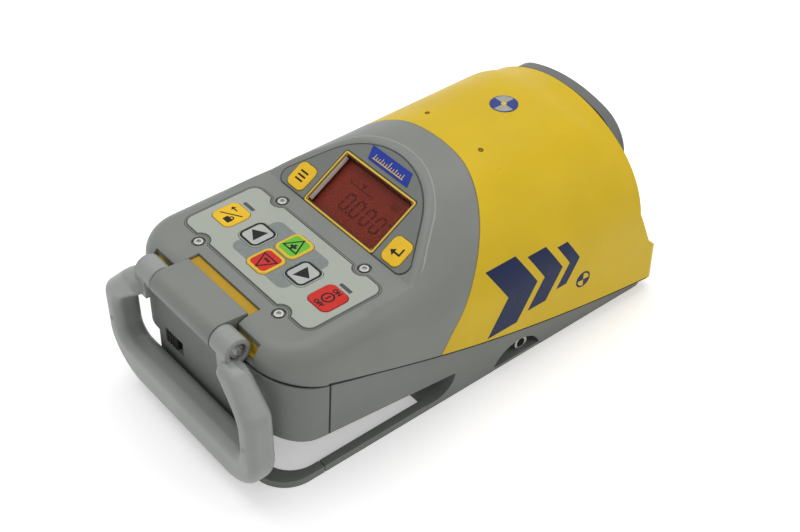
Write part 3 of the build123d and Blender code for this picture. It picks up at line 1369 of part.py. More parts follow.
def build():
    top_mark, side_marks = centre_marks(0, MARK_SINK, MARK_T - MARK_SINK)
    parts = {
        "base_casting": base_casting(),
        "battery_cover": battery_cover(),
        "battery_latch_left": battery_latch(1),
        "battery_latch_right": battery_latch(-1),
        "battery_tray": battery_tray(),
        "battery_cells": battery_cells(),
        "battery_contacts": battery_contacts(),
        "parting_gasket": parting_gasket(),
        "main_housing": main_housing(),
        "control_cover": control_cover(),
        "base_bolts": base_bolts(),
        "stud_insert": stud_insert(),
        "leg_inserts": leg_inserts(),
        "keypad_plate": keypad_plate(),
        "indicator_windows": indicator_windows(),
        "panel_screws": panel_screws(),
        "key_mat": key_mat(),
        "keypad_board": keypad_board(),
        "display_overlay": display_overlay(),
        "display_frame": display_frame(),
        "display_window": display_window(),
        "lcd_module": lcd_module(),
        "display_board": display_board(),
        "badge_plate": badge_plate(),
        "hinge_block": hinge_block(),
        "hinge_screws": hinge_screws(),
        "handle": handle(),
        "handle_bushes": handle_bushes(),
        "handle_pivot_screws": handle_pivot_screws(),
        "aperture_bezel": aperture_bezel(),
        "aperture_window": aperture_window(),
        "window_seal": window_seal(),
        "bezel_screws": bezel_screws(),
        "centre_mark_top": top_mark,
        "centre_marks_side": Compound(side_marks),
        "chassis_plate": chassis_plate(),
        "turntable_bearing": turntable_bearing(),
        "line_turntable": line_turntable(),
        "laser_cradle": laser_cradle(),
        "laser_barrel": laser_barrel(),
        "laser_diode": laser_diode(),
        "collimator_lens": collimator_lens(),
        "level_sensor": level_sensor(),
        "grade_screw": grade_screw(),
        "grade_motor": grade_motor(),
        "grade_nut": grade_nut(),
        "line_screw": line_screw(),
        "line_motor": line_motor(),
        "line_nut": line_nut(),
        "main_board": main_board(),
    }
    for name, centre in PANEL_KEYS.items():
        parts[name] = key(PANEL, centre, KEY_L, KEY_W)
    for name, centre in SLOPE_KEYS.items():
        parts[name] = key(SLOPE, centre, SLOPE_KEY_W, SLOPE_KEY_H)
    return parts


os.makedirs("parts", exist_ok=True)
to_origin = Pos(-(HANDLE_FRONT_X + FAR_END_X) / 2, 0, 0)
for node, shape in build().items():
    solids = [to_origin * solid for solid in shape.solids()]
    export_step(Compound(solids) if len(solids) > 1 else solids[0], f"parts/{node}.step")
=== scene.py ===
import json
import math

import bmesh
import bpy
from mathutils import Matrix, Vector
from mathutils.bvhtree import BVHTree
from mathutils.geometry import delaunay_2d_cdt


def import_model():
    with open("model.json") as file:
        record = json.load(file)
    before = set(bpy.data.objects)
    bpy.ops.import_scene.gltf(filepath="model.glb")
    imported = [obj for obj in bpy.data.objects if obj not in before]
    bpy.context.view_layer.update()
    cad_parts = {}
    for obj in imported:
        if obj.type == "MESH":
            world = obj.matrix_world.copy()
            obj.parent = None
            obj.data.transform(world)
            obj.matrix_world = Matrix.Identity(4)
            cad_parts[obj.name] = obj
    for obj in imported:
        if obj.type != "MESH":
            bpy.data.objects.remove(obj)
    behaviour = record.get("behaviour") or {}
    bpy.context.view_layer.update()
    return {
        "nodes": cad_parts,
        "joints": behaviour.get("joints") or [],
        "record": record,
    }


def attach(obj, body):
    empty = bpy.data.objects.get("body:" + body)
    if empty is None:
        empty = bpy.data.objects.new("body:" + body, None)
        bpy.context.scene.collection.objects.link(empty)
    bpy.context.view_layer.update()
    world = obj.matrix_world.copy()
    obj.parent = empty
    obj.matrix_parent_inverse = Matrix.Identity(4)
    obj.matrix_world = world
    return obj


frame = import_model()
NODES = frame["nodes"]
JOINTS = {joint["name"]: joint for joint in frame["joints"]}
MM = 0.001
SIDES = (("left", 1), ("right", -1))

# Camera, at the viewpoint worked out for the photograph
CAMERA_AT = Vector((-408.6, -510.0, 612.0)) * MM
CAMERA_LOOK = Vector((0.6318, 0.7752, 0.0))
CAMERA_DOWN = 40.83
CAMERA_LENS = 66.96
CAMERA_SENSOR = 36.0

# Directions on the level panel: up is away from the handle, as the person at the keypad sees it
LEVEL_NORMAL = Vector((0, 0, 1))
LEVEL_UP = Vector((1, 0, 0))
SLOPE_NORMAL = -Vector(JOINTS["key_menu_press"]["axis"])
SLOPE_UP = Vector((SLOPE_NORMAL.z, 0, -SLOPE_NORMAL.x))

# Samples that round an edge in shading
EDGE_SAMPLES = 4

# Flat faces: least upright share of the normal, how far a point may stray in millimetres,
# and the digits of a metre that tell two points apart
FLAT = 0.999
FACE_SLACK = 0.02
PLACE_DIGITS = 7

# Printed films, in millimetres
INK_T = 0.06
INK_SINK = 0.04
ARC_STEPS = 8
CIRCLE_STEPS = 48
CUT_SLACK = 0.0001
WELD = 0.001

# Outlines, triangles and signs on the middle keys, and the field behind them
STEEP_KEYS = ("key_menu", "key_enter")
EDGED_KEYS = ("key_plus", "key_minus")
MIDDLE_KEYS = ("key_left", "key_right", "key_plus", "key_minus")
KEY_CORNER = 4.0
KEY_STROKE = 1.4
ARROW_REACH = 8.2
ARROW_HALF_BASE = 5.0
SIGN_REACH = 11.2
SIGN_HALF_BASE = 6.3
SIGN_STROKE = 0.9
SIGN_BAR = 1.6
SIGN_ARM = 2.2
SIGN_DROP = 0.7
FIELD_WIDER = 6.5
FIELD_TALLER = 14.5
FIELD_R = 5.0

# Lock key: slash, return arrow and padlock, with the width, height and corner of its body
# and the two radii of its shackle
SLASH_END = (5.8, 3.5)
SLASH_W = 0.8
LOCK_AT = (2.4, -4.0)
LOCK_BODY = (5.2, 3.6, 0.5)
SHACKLE_AT = (0.6, 1.8)
SHACKLE_R = (1.8, 1.0)
BACK_AT = (-2.4, 4.0)
BACK_HEAD = [(-3.0, 0), (-0.8, 1.7), (-0.8, -1.7)]
BACK_TAIL = [(-0.8, 0), (2.4, 0)]

# Power key: ring, bar and where each switch word stands
POWER_R = 3.8
POWER_STROKE = 1.0
POWER_BAR = 1.8
SWITCH_WORDS = {"ON": 4.7, "OFF": -7.4}
WORD_SIZE = 3.7
WORD_BOLD = 0.18

# Menu key: three bars; enter key: bent arrow
MENU_BARS = (-2.6, 0, 2.6)
MENU_BAR_HALF = 3.2
MENU_STROKE = 1.1
ENTER_HEAD = [(-0.8, -0.65), (-0.8, 1.0), (-4.0, -1.2), (-0.8, -3.4), (-0.8, -1.75)]
ENTER_TAIL = [(3.75, -1.75), (3.75, 3.2), (2.65, 3.2), (2.65, -0.65)]

# Painted shade along the edges of the overlay and the plate, and in the groove round the plate
OVERLAY_EDGE = 0.45
PLATE_EDGE = 0.3
GROOVE_OUT = 1.2
GROOVE_W = 0.35

# Reading of the display, from the lower left corner of its first digit
READING = "0.000"
READING_AT = (-14.0, -10.0)
DIGIT_W = 6.6
DIGIT_H = 12.0
DIGIT_STROKE = 1.6
DIGIT_GAP = 0.15
DIGIT_LEAN = 0.12
DIGIT_PITCH = 9.0
POINT_AT = (-0.6, 0.8)
POINT_R = 0.8
PERCENT_DOTS = [(1.4, 10.2), (4.0, 1.8)]
PERCENT_R = 1.1
PERCENT_SLASH = [(0.8, 1.4), (4.8, 10.8)]
PERCENT_STROKE = 0.6
READING_LAYER = {"low": -0.02, "high": 0.03}

# Level line above the reading, with its ticks and pointer, and the battery sign, with the width,
# height and corner of its box
LINE_U = (-18.0, 2.0)
LINE_V = 6.0
LINE_STROKE = 0.7
LINE_TICKS = (-17.7, -13.0, -3.0, 1.7)
LINE_TICK_V = (6.4, 7.6)
LINE_TICK_STROKE = 0.5
POINTER_REACH = 3.2
POINTER_HALF_BASE = 1.9
POINTER_AT = (-8.0, 8.6)
BATTERY_AT = (18.0, 9.5)
BATTERY_BOX = (7.0, 3.6, 0.8)
BATTERY_STROKE = 0.5
BATTERY_BARS = (16.4, 17.9, 19.4)
BATTERY_BAR_V = (8.6, 10.4)
BATTERY_BAR_STROKE = 0.8

# Gasket on the inner walls of the display frame, and a pale strip beside it painted as a reflection on the
# edge of the window
FRAME_BAND = 1.6
LINER_GAP = 0.05
LINER_T = 0.4
LINER_DROP = 0.7
LIP_W = 0.5
GLINT_T = 0.3
GLINT_END = 1.2

# Scale on the badge plate: a line and ticks, longest in the middle
SCALE_HALF = 13.0
SCALE_V = -2.25
SCALE_STROKE = 0.5
TICK_FOOT = -2.0
TICK_PITCH = 2.0
TICKS_A_SIDE = 6
TICK_GROUP = 3
TICK_REACH = {"middle": 4.0, "group": 2.8, "plain": 1.8}

# Centre marks, as shares of the radius of the disc
MARK_TOP = 0.93
MARK_SIDE = 0.8
MARK_DOT = 0.2
QUARTER_TIP = 0.05

# Places along the body below are measured from its front, this far ahead of the frame's origin
FRONT_X = 128.1
FAR_OUT = 200.0

# Chevrons on the sides of the hood: where each starts, its width and its half height
CHEVRONS = [(138.0, 22.0, 23.0), (168.0, 14.0, 19.0), (190.0, 8.0, 15.0)]
CHEVRON_Z = 60.5
CHEVRON_SLANT = 0.62
CHEVRON_LIFT = 0.07
CHEVRON_STEPS = (4, 14)

# Dark line under the upper shells: the edge of the seal, with painted shadow under the shells' lower edge
SEAM_X = (29.0, 272.0)
SEAM_Y = 71.8
SEAM_STEPS = 80
SEAM_W = 0.9
SEAM_LIFT = 0.06

# Dark joint between the battery cover and the base
CAP_X = (29.4, 30.6)
CAP_Z = (30.9, 68.4)
CAP_STEPS = 20

# Top of the low ridge of the hood behind the hinge
RIDGE_X = 23.1
RIDGE_Y = 30.0
RIDGE_Z = 94.5

# Pale bead along the edge of the sloping face, painted as a highlight: how far outside the overlay, where
# it fades, and the corners of its bead
CREASE_OUT = 6.0
CREASE_PITCH = 1.5
CREASE_FROM = 4.0
CREASE_FADE = 10
CREASE_SINK = 0.15
CREASE_BEAD = [(-0.5, -0.05), (0.0, 0.12), (0.5, -0.05), (0.0, -0.3)]

# Dark line behind the bezel, painted as the shadow in the gap, and dark rims painted as the shade in the
# pits of the hood
BEZEL_T = 7.6
BEZEL_LINE_OUT = 0.06
BEZEL_LINE_IN = 0.4
BEZEL_LINE_W = 0.8
PIT_X = 174.0
PIT_Y = 23.0
PIT_SHADE_RIM = (1.03, 1.5)

# Lip below each leg recess
LIP_X = (149.6, 186.4)
LIP_Y = (57.5, 67.64)
LIP_Z = (0.1, 2.4)
LIP_FLARE = 0.17

# Studio: each lamp has its size, its power, its place and what it points at
FLOOR_HALF = 6.0
FLOOR_GLOW = 0.35
FLOOR_ROUGHNESS = 0.9
AMBIENT = 0.52
LAMPS = {
    "top_softbox": ((1.6, 1.2), 10.6, (0.1, 0.25, 1.5), (0.0, 0.0, 0.05)),
    "side_softbox": ((1.2, 1.0), 3.4, (0.9, -1.3, 0.9), (0.05, 0.0, 0.05)),
}


def srgb(red, green, blue):
    """Colour written as it shows on screen, 0 to 255, turned into linear light."""
    def linear(value):
        share = value / 255
        return share / 12.92 if share <= 0.04045 else ((share + 0.055) / 1.055) ** 2.4
    return (linear(red), linear(green), linear(blue), 1.0)


YELLOW = srgb(219, 185, 32)
# Darker yellow, painted as the shade on the ridge behind the hinge
SHADED_STRIP_YELLOW = srgb(190, 151, 38)
COVER_GREY = srgb(128, 131, 126)
BASE_GREY = srgb(122, 125, 121)
HANDLE_GREY = srgb(152, 155, 151)
PLATE_GREY = srgb(170, 175, 165)
PATCH_GREY = srgb(132, 139, 137)
OVERLAY_GREY = srgb(114, 118, 114)
BEZEL_GREY = srgb(105, 107, 104)
KEY_YELLOW = srgb(240, 194, 40)
KEY_GREY = srgb(182, 186, 180)
KEY_GREEN = srgb(104, 188, 52)
KEY_RED = srgb(206, 40, 30)
FRAME_YELLOW = srgb(226, 190, 60)
BADGE_BLUE = srgb(36, 60, 156)
NAVY = srgb(14, 32, 72)
MARK_BLUE = srgb(48, 66, 136)
MARK_WHITE = srgb(164, 166, 154)
INK_BLACK = srgb(16, 16, 16)
BLACK = srgb(30, 30, 31)
LCD_RED = srgb(190, 76, 54)
LCD_DARK = srgb(126, 50, 38)
LINER_RED = srgb(88, 40, 30)
# Pale grey painted as a reflection on the edge of the window
PAINTED_GLINT_GREY = srgb(232, 228, 220)
# Pale grey painted as a highlight on the crease of the sloping face
CREASE_HIGHLIGHT_GREY = srgb(160, 163, 158)
SLIT_GREY = srgb(74, 81, 78)
# Dark grey painted as shade along edges and in the groove round the plate
GROOVE_SHADE_GREY = srgb(70, 72, 71)
STEEL = srgb(188, 188, 186)
BRASS = srgb(196, 160, 88)
ALLOY = srgb(176, 178, 182)
BOARD_GREEN = srgb(34, 92, 56)
CELL_BLUE = srgb(56, 60, 78)
PANE_RED = srgb(70, 28, 22)
PANE_TEAL = srgb(120, 140, 138)
FLOOR_WHITE = srgb(250, 250, 250)
WHITE = srgb(255, 255, 255)


# Materials


class Finish:
    """Procedural material of one surface. Sizes of patterns are in millimetres."""

    def __init__(self, name):
        self.material = bpy.data.materials.new(name)
        self.material.use_nodes = True
        self.tree = self.material.node_tree
        self.shader = self.tree.nodes["Principled BSDF"]
        self.place = self.add("ShaderNodeTexCoord").outputs["Object"]

    def add(self, kind, links=None, values=None, **settings):
        node = self.tree.nodes.new(kind)
        for name, value in settings.items():
            setattr(node, name, value)
        for name, value in (values or {}).items():
            node.inputs[name].default_value = value
        for name, socket in (links or {}).items():
            self.tree.links.new(socket, node.inputs[name])
        return node

    def set(self, **values):
        for name, value in values.items():
            self.shader.inputs[name.replace("_", " ")].default_value = value

    def link(self, socket, name):
        self.tree.links.new(socket, self.shader.inputs[name])

    def noise(self, size, detail=3.0, stretch=(1, 1, 1)):
        """Noise whose features are about size across, drawn out along an axis by stretch."""
        scale = self.add("ShaderNodeMapping", {"Vector": self.place}, {"Scale": stretch})
        values = {"Scale": 1 / (size * MM), "Detail": detail}
        return self.add("ShaderNodeTexNoise", {"Vector": scale.outputs["Vector"]}, values).outputs["Fac"]

    def spread(self, pattern, low, high, start=0.3, end=0.7):
        """Pattern drawn out so that its values from start to end run from low to high."""
        values = {"From Min": start, "From Max": end, "To Min": low, "To Max": high}
        return self.add("ShaderNodeMapRange", {"Value": pattern}, values).outputs["Result"]

    def mix(self, factor, one, other):
        node = self.add("ShaderNodeMix", data_type="RGBA")
        self.tree.links.new(factor, node.inputs["Factor"])
        for socket, value in ((node.inputs["A"], one), (node.inputs["B"], other)):
            self.connect(value, socket)
        return node.outputs["Result"]

    def connect(self, value, socket):
        if isinstance(value, bpy.types.NodeSocket):
            self.tree.links.new(value, socket)
        else:
            socket.default_value = value

    def tinted(self, colour, pattern, low, high):
        """Colour that drifts with a pattern between two shares of itself."""
        return self.mix(self.spread(pattern, 0, 1), shaded(colour, low), shaded(colour, high))

    def roughen(self, pattern, low, high):
        """Roughness that drifts with a pattern between two values."""
        self.link(self.spread(pattern, low, high), "Roughness")

    def edge(self, radius):
        """Direction of the surface with its edges rounded."""
        bevel = self.add("ShaderNodeBevel", values={"Radius": radius * MM}, samples=EDGE_SAMPLES)
        return bevel.outputs["Normal"]

    def edge_wear_and_highlight(self, edge, wear_and_highlight, patches):
        """Share of paler colour along the edges, which comes and goes with a pattern of patches: partly
        scuffing, partly a painted highlight.
        """
        flat = self.add("ShaderNodeNewGeometry").outputs["Normal"]
        turn = self.add("ShaderNodeVectorMath", {0: edge, 1: flat}, operation="DOT_PRODUCT")
        along_edges = self.spread(turn.outputs["Value"], low=wear_and_highlight, high=0, start=0.82, end=0.99)
        here_and_there = self.spread(patches, low=0.2, high=1.0)
        worn_and_highlit = self.add("ShaderNodeMath", {0: along_edges, 1: here_and_there}, operation="MULTIPLY")
        return worn_and_highlit.outputs["Value"]

    def emboss(self, pattern, edge, strength, depth):
        """Fine relief that follows a pattern, over rounded edges."""
        values = {"Strength": strength, "Distance": depth * MM}
        bump = self.add("ShaderNodeBump", {"Height": pattern, "Normal": edge}, values)
        self.link(bump.outputs["Normal"], "Normal")


def shaded(colour, share):
    """Colour made darker or lighter by a share."""
    return tuple(min(1.0, c * share) for c in colour[:3]) + (1.0,)


def moulded(name, colour, roughness=0.45, grain=0.5, relief=0.25, wear_and_highlight=0.5, round_edge=0.5, mottle=0.05,
            gloss=0.35):
    """Moulded plastic or painted casting: fine spark texture, faint mottling and edges drawn paler, partly
    as scuffing and partly as a painted highlight.
    """
    finish = Finish(name)
    base = finish.tinted(colour, finish.noise(size=38, detail=4.0), low=1 - mottle, high=1 + mottle)
    specks = finish.spread(finish.noise(size=1.3, detail=2.0), low=0, high=0.12)
    base = finish.mix(specks, base, shaded(colour, share=0.86))
    edge = finish.edge(round_edge)
    # Paler colour along the edges: partly scuffing, partly a painted highlight
    worn_and_highlit = finish.edge_wear_and_highlight(edge, wear_and_highlight, finish.noise(size=9))
    finish.link(finish.mix(worn_and_highlit, base, shaded(colour, share=1.22)), "Base Color")
    finish.roughen(finish.noise(size=24), low=roughness - 0.05, high=roughness + 0.05)
    finish.emboss(finish.noise(grain, detail=2.0), edge, relief, depth=0.05)
    finish.set(Specular_IOR_Level=gloss)
    return finish.material


def rubber(name, colour, roughness=0.55):
    """Silicone key or seal: soft sheen and a very fine dull grain."""
    finish = Finish(name)
    finish.link(finish.tinted(colour, finish.noise(size=6), low=0.95, high=1.04), "Base Color")
    finish.roughen(finish.noise(size=2), low=roughness - 0.06, high=roughness + 0.06)
    finish.emboss(finish.noise(size=0.35, detail=2.0), finish.edge(0.5), strength=0.2, depth=0.03)
    finish.set(Sheen_Weight=0.03, Specular_IOR_Level=0.25)
    return finish.material


def ink(name, colour, roughness=0.5):
    """Screen print, a little uneven in thickness."""
    finish = Finish(name)
    finish.link(finish.tinted(colour, finish.noise(size=1.6), low=0.92, high=1.06), "Base Color")
    finish.roughen(finish.noise(size=3), low=roughness - 0.05, high=roughness + 0.05)
    finish.set(Specular_IOR_Level=0.2)
    return finish.material


def turned_metal(name, colour, roughness=0.3, stretch=(1, 1, 8)):
    """Machined metal with fine tool lines and a few dull spots."""
    finish = Finish(name)
    lines = finish.noise(size=0.6, stretch=stretch)
    finish.link(finish.tinted(colour, lines, low=0.82, high=1.1), "Base Color")
    finish.roughen(finish.noise(size=3), low=roughness - 0.08, high=roughness + 0.1)
    finish.emboss(lines, finish.edge(0.15), strength=0.15, depth=0.02)
    finish.set(Metallic=1.0)
    return finish.material


def pane(name, colour, cover, roughness=0.03, gloss=0.5):
    """Thin tinted window that hides a share of what lies behind it, with a faint film of dust."""
    finish = Finish(name)
    finish.set(Base_Color=colour, Alpha=cover, Specular_IOR_Level=gloss)
    finish.roughen(finish.noise(size=14, detail=4.0), low=roughness, high=roughness + 0.04)
    return finish.material


def lcd_panel(name):
    """Liquid crystal cell: dark red, a little uneven, behind a smooth polariser."""
    finish = Finish(name)
    finish.link(finish.tinted(LCD_RED, finish.noise(size=30, detail=2.0), low=0.9, high=1.1), "Base Color")
    finish.roughen(finish.noise(size=5), low=0.18, high=0.26)
    finish.set(Specular_IOR_Level=0.2)
    return finish.material


def circuit_board(name):
    """Lacquered board with a faint pattern of tracks."""
    finish = Finish(name)
    values = {"Scale": 220.0, "Mortar Size": 0.03}
    for socket, share in (("Color1", 0.9), ("Color2", 1.1), ("Mortar", 1.8)):
        values[socket] = shaded(BOARD_GREEN, share)
    tracks = finish.add("ShaderNodeTexBrick", {"Vector": finish.place}, values)
    finish.link(tracks.outputs["Color"], "Base Color")
    finish.roughen(finish.noise(size=4), low=0.3, high=0.42)
    return finish.material


BLACK_INK = ink("black_ink", INK_BLACK)
YELLOW_INK = ink("yellow_ink", FRAME_YELLOW)
NAVY_INK = ink("navy_ink", NAVY, 0.42)
WHITE_INK = ink("white_ink", MARK_WHITE)
PATCH_INK = ink("patch_ink", PATCH_GREY, 0.55)
LCD_INK = ink("lcd_ink", LCD_DARK, 0.3)
# Painted shade, laid as a thin film like a print
GROOVE_SHADE = ink("groove_shade_grey", GROOVE_SHADE_GREY, 0.6)
LINER = rubber("liner_red", LINER_RED, 0.3)
# Painted reflection on the edge of the window
PAINTED_GLINT = rubber("painted_glint_grey", PAINTED_GLINT_GREY, 0.2)
# Painted highlight on the crease of the sloping face
CREASE_HIGHLIGHT = rubber("crease_highlight_grey", CREASE_HIGHLIGHT_GREY, 0.4)
# Painted shade of the ridge behind the hinge
SHADED_STRIP = moulded("shaded_strip_yellow", SHADED_STRIP_YELLOW, 0.5, wear_and_highlight=0.2, mottle=0.12, gloss=0.2)

# Thin sheets are smoother than the shells, with less scuffing and less painted highlight on their edges
SHEET = {"grain": 0.3, "relief": 0.12, "wear_and_highlight": 0.15, "mottle": 0.02}
FINISHES = {
    "yellow_shell": moulded("yellow_shell", YELLOW, 0.42, grain=0.45, relief=0.18, wear_and_highlight=0.35, gloss=0.2),
    "grey_shell": moulded("grey_cover", COVER_GREY, 0.4, round_edge=1.0),
    "grey_base": moulded("grey_base", BASE_GREY, 0.52, grain=0.7, relief=0.35),
    "handle_grey": moulded("handle_grey", HANDLE_GREY, 0.34, relief=0.15, round_edge=2.0, gloss=0.4),
    "plate_grey": moulded("plate_grey", PLATE_GREY, 0.55, **SHEET),
    "overlay_grey": moulded("overlay_grey", OVERLAY_GREY, 0.5, **SHEET),
    "frame_yellow": moulded("frame_yellow", FRAME_YELLOW, 0.42, wear_and_highlight=0.2),
    "key_yellow": rubber("key_yellow", KEY_YELLOW),
    "key_grey": rubber("key_grey", KEY_GREY),
    "key_green": rubber("key_green", KEY_GREEN),
    "key_red": rubber("key_red", KEY_RED),
    "badge_blue": moulded("badge_blue", BADGE_BLUE, 0.3, relief=0.05, wear_and_highlight=0.1, gloss=0.15),
    "black_plastic": moulded("black_plastic", BLACK, 0.5, wear_and_highlight=0.3),
    "black_rubber": rubber("black_rubber", BLACK, 0.65),
    "dark_lens": pane("dark_lens", PANE_RED, 0.25, 0.06, 0.2),
    "clear_glass": pane("clear_glass", PANE_TEAL, 0.35),
    "display_glass": lcd_panel("display_glass"),
    "bezel_grey": moulded("bezel_grey", BEZEL_GREY, 0.46),
    "steel": turned_metal("screw_steel", STEEL),
    "motor_steel": turned_metal("drawn_steel", STEEL, 0.28, (1, 1, 6)),
    "brass": turned_metal("turned_brass", BRASS),
    "alloy": turned_metal("machined_alloy", ALLOY, 0.35, (8, 1, 1)),
    "mark_blue": ink("mark_blue", MARK_BLUE, 0.4),
    "board_green": circuit_board("board"),
    "cell_wrap": moulded("cell_wrap", CELL_BLUE, 0.3, relief=0.05, wear_and_highlight=0.1),
}
NODE_FINISHES = {
    "indicator_windows": rubber("indicator_grey", SLIT_GREY, 0.4),
    "centre_marks_side": NAVY_INK,
}


def dress_nodes():
    """Gives every node of the frame the finish of its slot in the record, or its own."""
    for part in frame["record"]["subparts"]:
        node = NODES[part["node"]]
        finish = NODE_FINISHES.get(part["node"], FINISHES[part["material_slot"]])
        node.data.materials.clear()
        node.data.materials.append(finish)


def shade_strip():
    """Painted shade: darker yellow on top of the low ridge behind the hinge, where it lies in the shadow
    of the hinge pocket.
    """
    data = NODES["main_housing"].data
    data.materials.append(SHADED_STRIP)
    for face in data.polygons:
        x, y, z = face.center / MM
        on_ridge = x + FRONT_X < RIDGE_X and abs(y) < RIDGE_Y and z > RIDGE_Z
        if on_ridge and face.normal.z > FLAT:
            face.material_index = 1


def edge_keys():
    """Carries the yellow outline of two keys over their rounded edges."""
    for node in EDGED_KEYS:
        data = NODES[node].data
        data.materials.append(YELLOW_INK)
        for face in data.polygons:
            face.material_index = 0 if face.normal.z > FLAT else 1


# Planes and outlines for printed films


class Sheet:
    """Flat face of a node seen square on, with its centre, its right and its up direction."""

    def __init__(self, node, normal, up):
        self.normal = normal
        self.up = up
        self.right = up.cross(normal)
        points = [vertex.co for vertex in NODES[node].data.vertices]
        self.level = max(point.dot(normal) for point in points)
        face = [point for point in points if point.dot(normal) > self.level - FACE_SLACK * MM]
        spans = [self.span(face, axis) for axis in (self.right, self.up)]
        self.middle = [(low + high) / 2 for low, high in spans]
        self.size = [(high - low) / MM for low, high in spans]

    @staticmethod
    def span(points, axis):
        """Least and greatest place of points along an axis."""
        spots = [point.dot(axis) for point in points]
        return min(spots), max(spots)

    def flat(self, point):
        """Place of a point on the face, in millimetres from the face's centre."""
        spots = zip((self.right, self.up), self.middle)
        return tuple((point.dot(axis) - middle) / MM for axis, middle in spots)

    def at(self, u, v, height):
        """Point u to the right and v up from the face's centre, height above it, all in millimetres."""
        across = self.right * (self.middle[0] + u * MM)
        along = self.up * (self.middle[1] + v * MM)
        return across + along + self.normal * (self.level + height * MM)


def level_face(node):
    """Top of a node on the level panel."""
    return Sheet(node, LEVEL_NORMAL, LEVEL_UP)


def slope_face(node):
    """Top of a node on the sloping face round the display."""
    return Sheet(node, SLOPE_NORMAL, SLOPE_UP)


def key_face(node):
    """Top of a key."""
    return slope_face(node) if node in STEEP_KEYS else level_face(node)


def shifted(loop, du, dv):
    """Loop moved across and up."""
    return [(u + du, v + dv) for u, v in loop]


def turned(loop, degrees):
    """Loop turned anticlockwise about the origin."""
    c, s = math.cos(math.radians(degrees)), math.sin(math.radians(degrees))
    return [(c * u - s * v, s * u + c * v) for u, v in loop]


def rounded(width, height, radius):
    """Rounded rectangle about the centre."""
    loop = []
    for quarter, (su, sv) in enumerate(((1, 1), (-1, 1), (-1, -1), (1, -1))):
        for step in range(ARC_STEPS + 1):
            angle = math.radians(90 * (quarter + step / ARC_STEPS))
            u = su * (width / 2 - radius) + radius * math.cos(angle)
            v = sv * (height / 2 - radius) + radius * math.sin(angle)
            loop.append((u, v))
    return loop


def circle(radius, start=0.0, sweep=360.0):
    """Points round a circle; a full turn has no repeated point."""
    count = CIRCLE_STEPS if sweep >= 360 else CIRCLE_STEPS + 1
    angles = [math.radians(start + sweep * step / CIRCLE_STEPS) for step in range(count)]
    return [(radius * math.cos(angle), radius * math.sin(angle)) for angle in angles]


def quarter_disc(radius, start):
    """Quarter of a disc, stopping just short of its centre."""
    middle = math.radians(start + 45)
    tip = (QUARTER_TIP * math.cos(middle), QUARTER_TIP * math.sin(middle))
    return [[tip] + circle(radius, start, 90)]


def ring(radius, stroke):
    """Circle drawn inwards with a stroke."""
    return [circle(radius), circle(radius - stroke)]


def band(width, height, radius, stroke):
    """Outline of a rounded rectangle, drawn inwards."""
    inner = rounded(width - 2 * stroke, height - 2 * stroke, radius - stroke)
    return [rounded(width, height, radius), inner]


def bar(start, end, stroke):
    """Straight stroke with square ends."""
    along = Vector((end[0] - start[0], end[1] - start[1])).normalized() * (stroke / 2)
    side = Vector((-along.y, along.x))
    corners = [Vector(start) - side, Vector(end) - side, Vector(end) + side, Vector(start) + side]
    return [[tuple(corner) for corner in corners]]


def upright_bar(u, span, stroke):
    """Upright stroke at u, from the lower to the upper end of a span."""
    return bar((u, span[0]), (u, span[1]), stroke)


def plus_sign(reach, stroke):
    """Upright cross about the centre."""
    near = stroke / 2
    arm = [(reach, -near), (reach, near), (near, near)]
    return [[point for turn in (0, 90, 180, 270) for point in turned(arm, turn)]]


def triangle(reach, half_base, turn):
    """Isosceles triangle about its centroid, apex up, then turned anticlockwise by degrees."""
    return turned([(0, 2 * reach / 3), (-half_base, -reach / 3), (half_base, -reach / 3)], turn)


def hollow_triangle(reach, half_base, stroke, turn):
    """Outline of an isosceles triangle, drawn inwards."""
    leg = math.hypot(reach, half_base)
    inner_r = half_base * reach / (half_base + leg)
    share = (inner_r - stroke) / inner_r
    lift = (1 - share) * (inner_r - reach / 3)
    inner = shifted(triangle(share * reach, share * half_base, 0), 0, lift)
    return [triangle(reach, half_base, turn), turned(inner, turn)]


def face_loops(node, sheet):
    """Edges of a node's flat face, the outer one first, as points in millimetres on its sheet."""
    data = NODES[node].data
    places = [tuple(round(c, PLACE_DIGITS) for c in vertex.co) for vertex in data.vertices]
    sides = {}
    for face in data.polygons:
        corners = [places[i] for i in face.vertices]
        away = max(abs(Vector(corner).dot(sheet.normal) - sheet.level) for corner in corners)
        if away < FACE_SLACK * MM:
            sides.update(dict.fromkeys(zip(corners, corners[1:] + corners[:1])))
    ahead = {start: end for start, end in sides if (end, start) not in sides}
    loops = []
    while ahead:
        first, spot = ahead.popitem()
        loop = [first]
        while spot != first:
            loop.append(spot)
            spot = ahead.pop(spot)
        loops.append([sheet.flat(Vector(place)) for place in loop])
    return sorted(loops, key=lambda loop: min(u for u, v in loop) - max(u for u, v in loop))


def face_loop(node, sheet):
    """Outer edge of a node's flat face, anticlockwise."""
    return face_loops(node, sheet)[0]


def offset(loop, distance):
    """Anticlockwise loop moved inwards by a distance, or outwards where it is negative."""
    moved = []
    for i, (u, v) in enumerate(loop):
        before, after = Vector(loop[i - 1]), Vector(loop[(i + 1) % len(loop)])
        along = (after - before).normalized()
        moved.append((u - along.y * distance, v + along.x * distance))
    return moved


def filled_in(loop, pitch):
    """Loop with more points along its longer straight runs."""
    points = []
    for (u1, v1), (u2, v2) in zip(loop, loop[1:] + loop[:1]):
        steps = max(1, round(math.hypot(u2 - u1, v2 - v1) / pitch))
        shares = [step / steps for step in range(steps)]
        points += [(u1 + (u2 - u1) * share, v1 + (v2 - v1) * share) for share in shares]
    return points


def between(span, share):
    """Value a share of the way along a span."""
    return span[0] + (span[1] - span[0]) * share


# Meshes


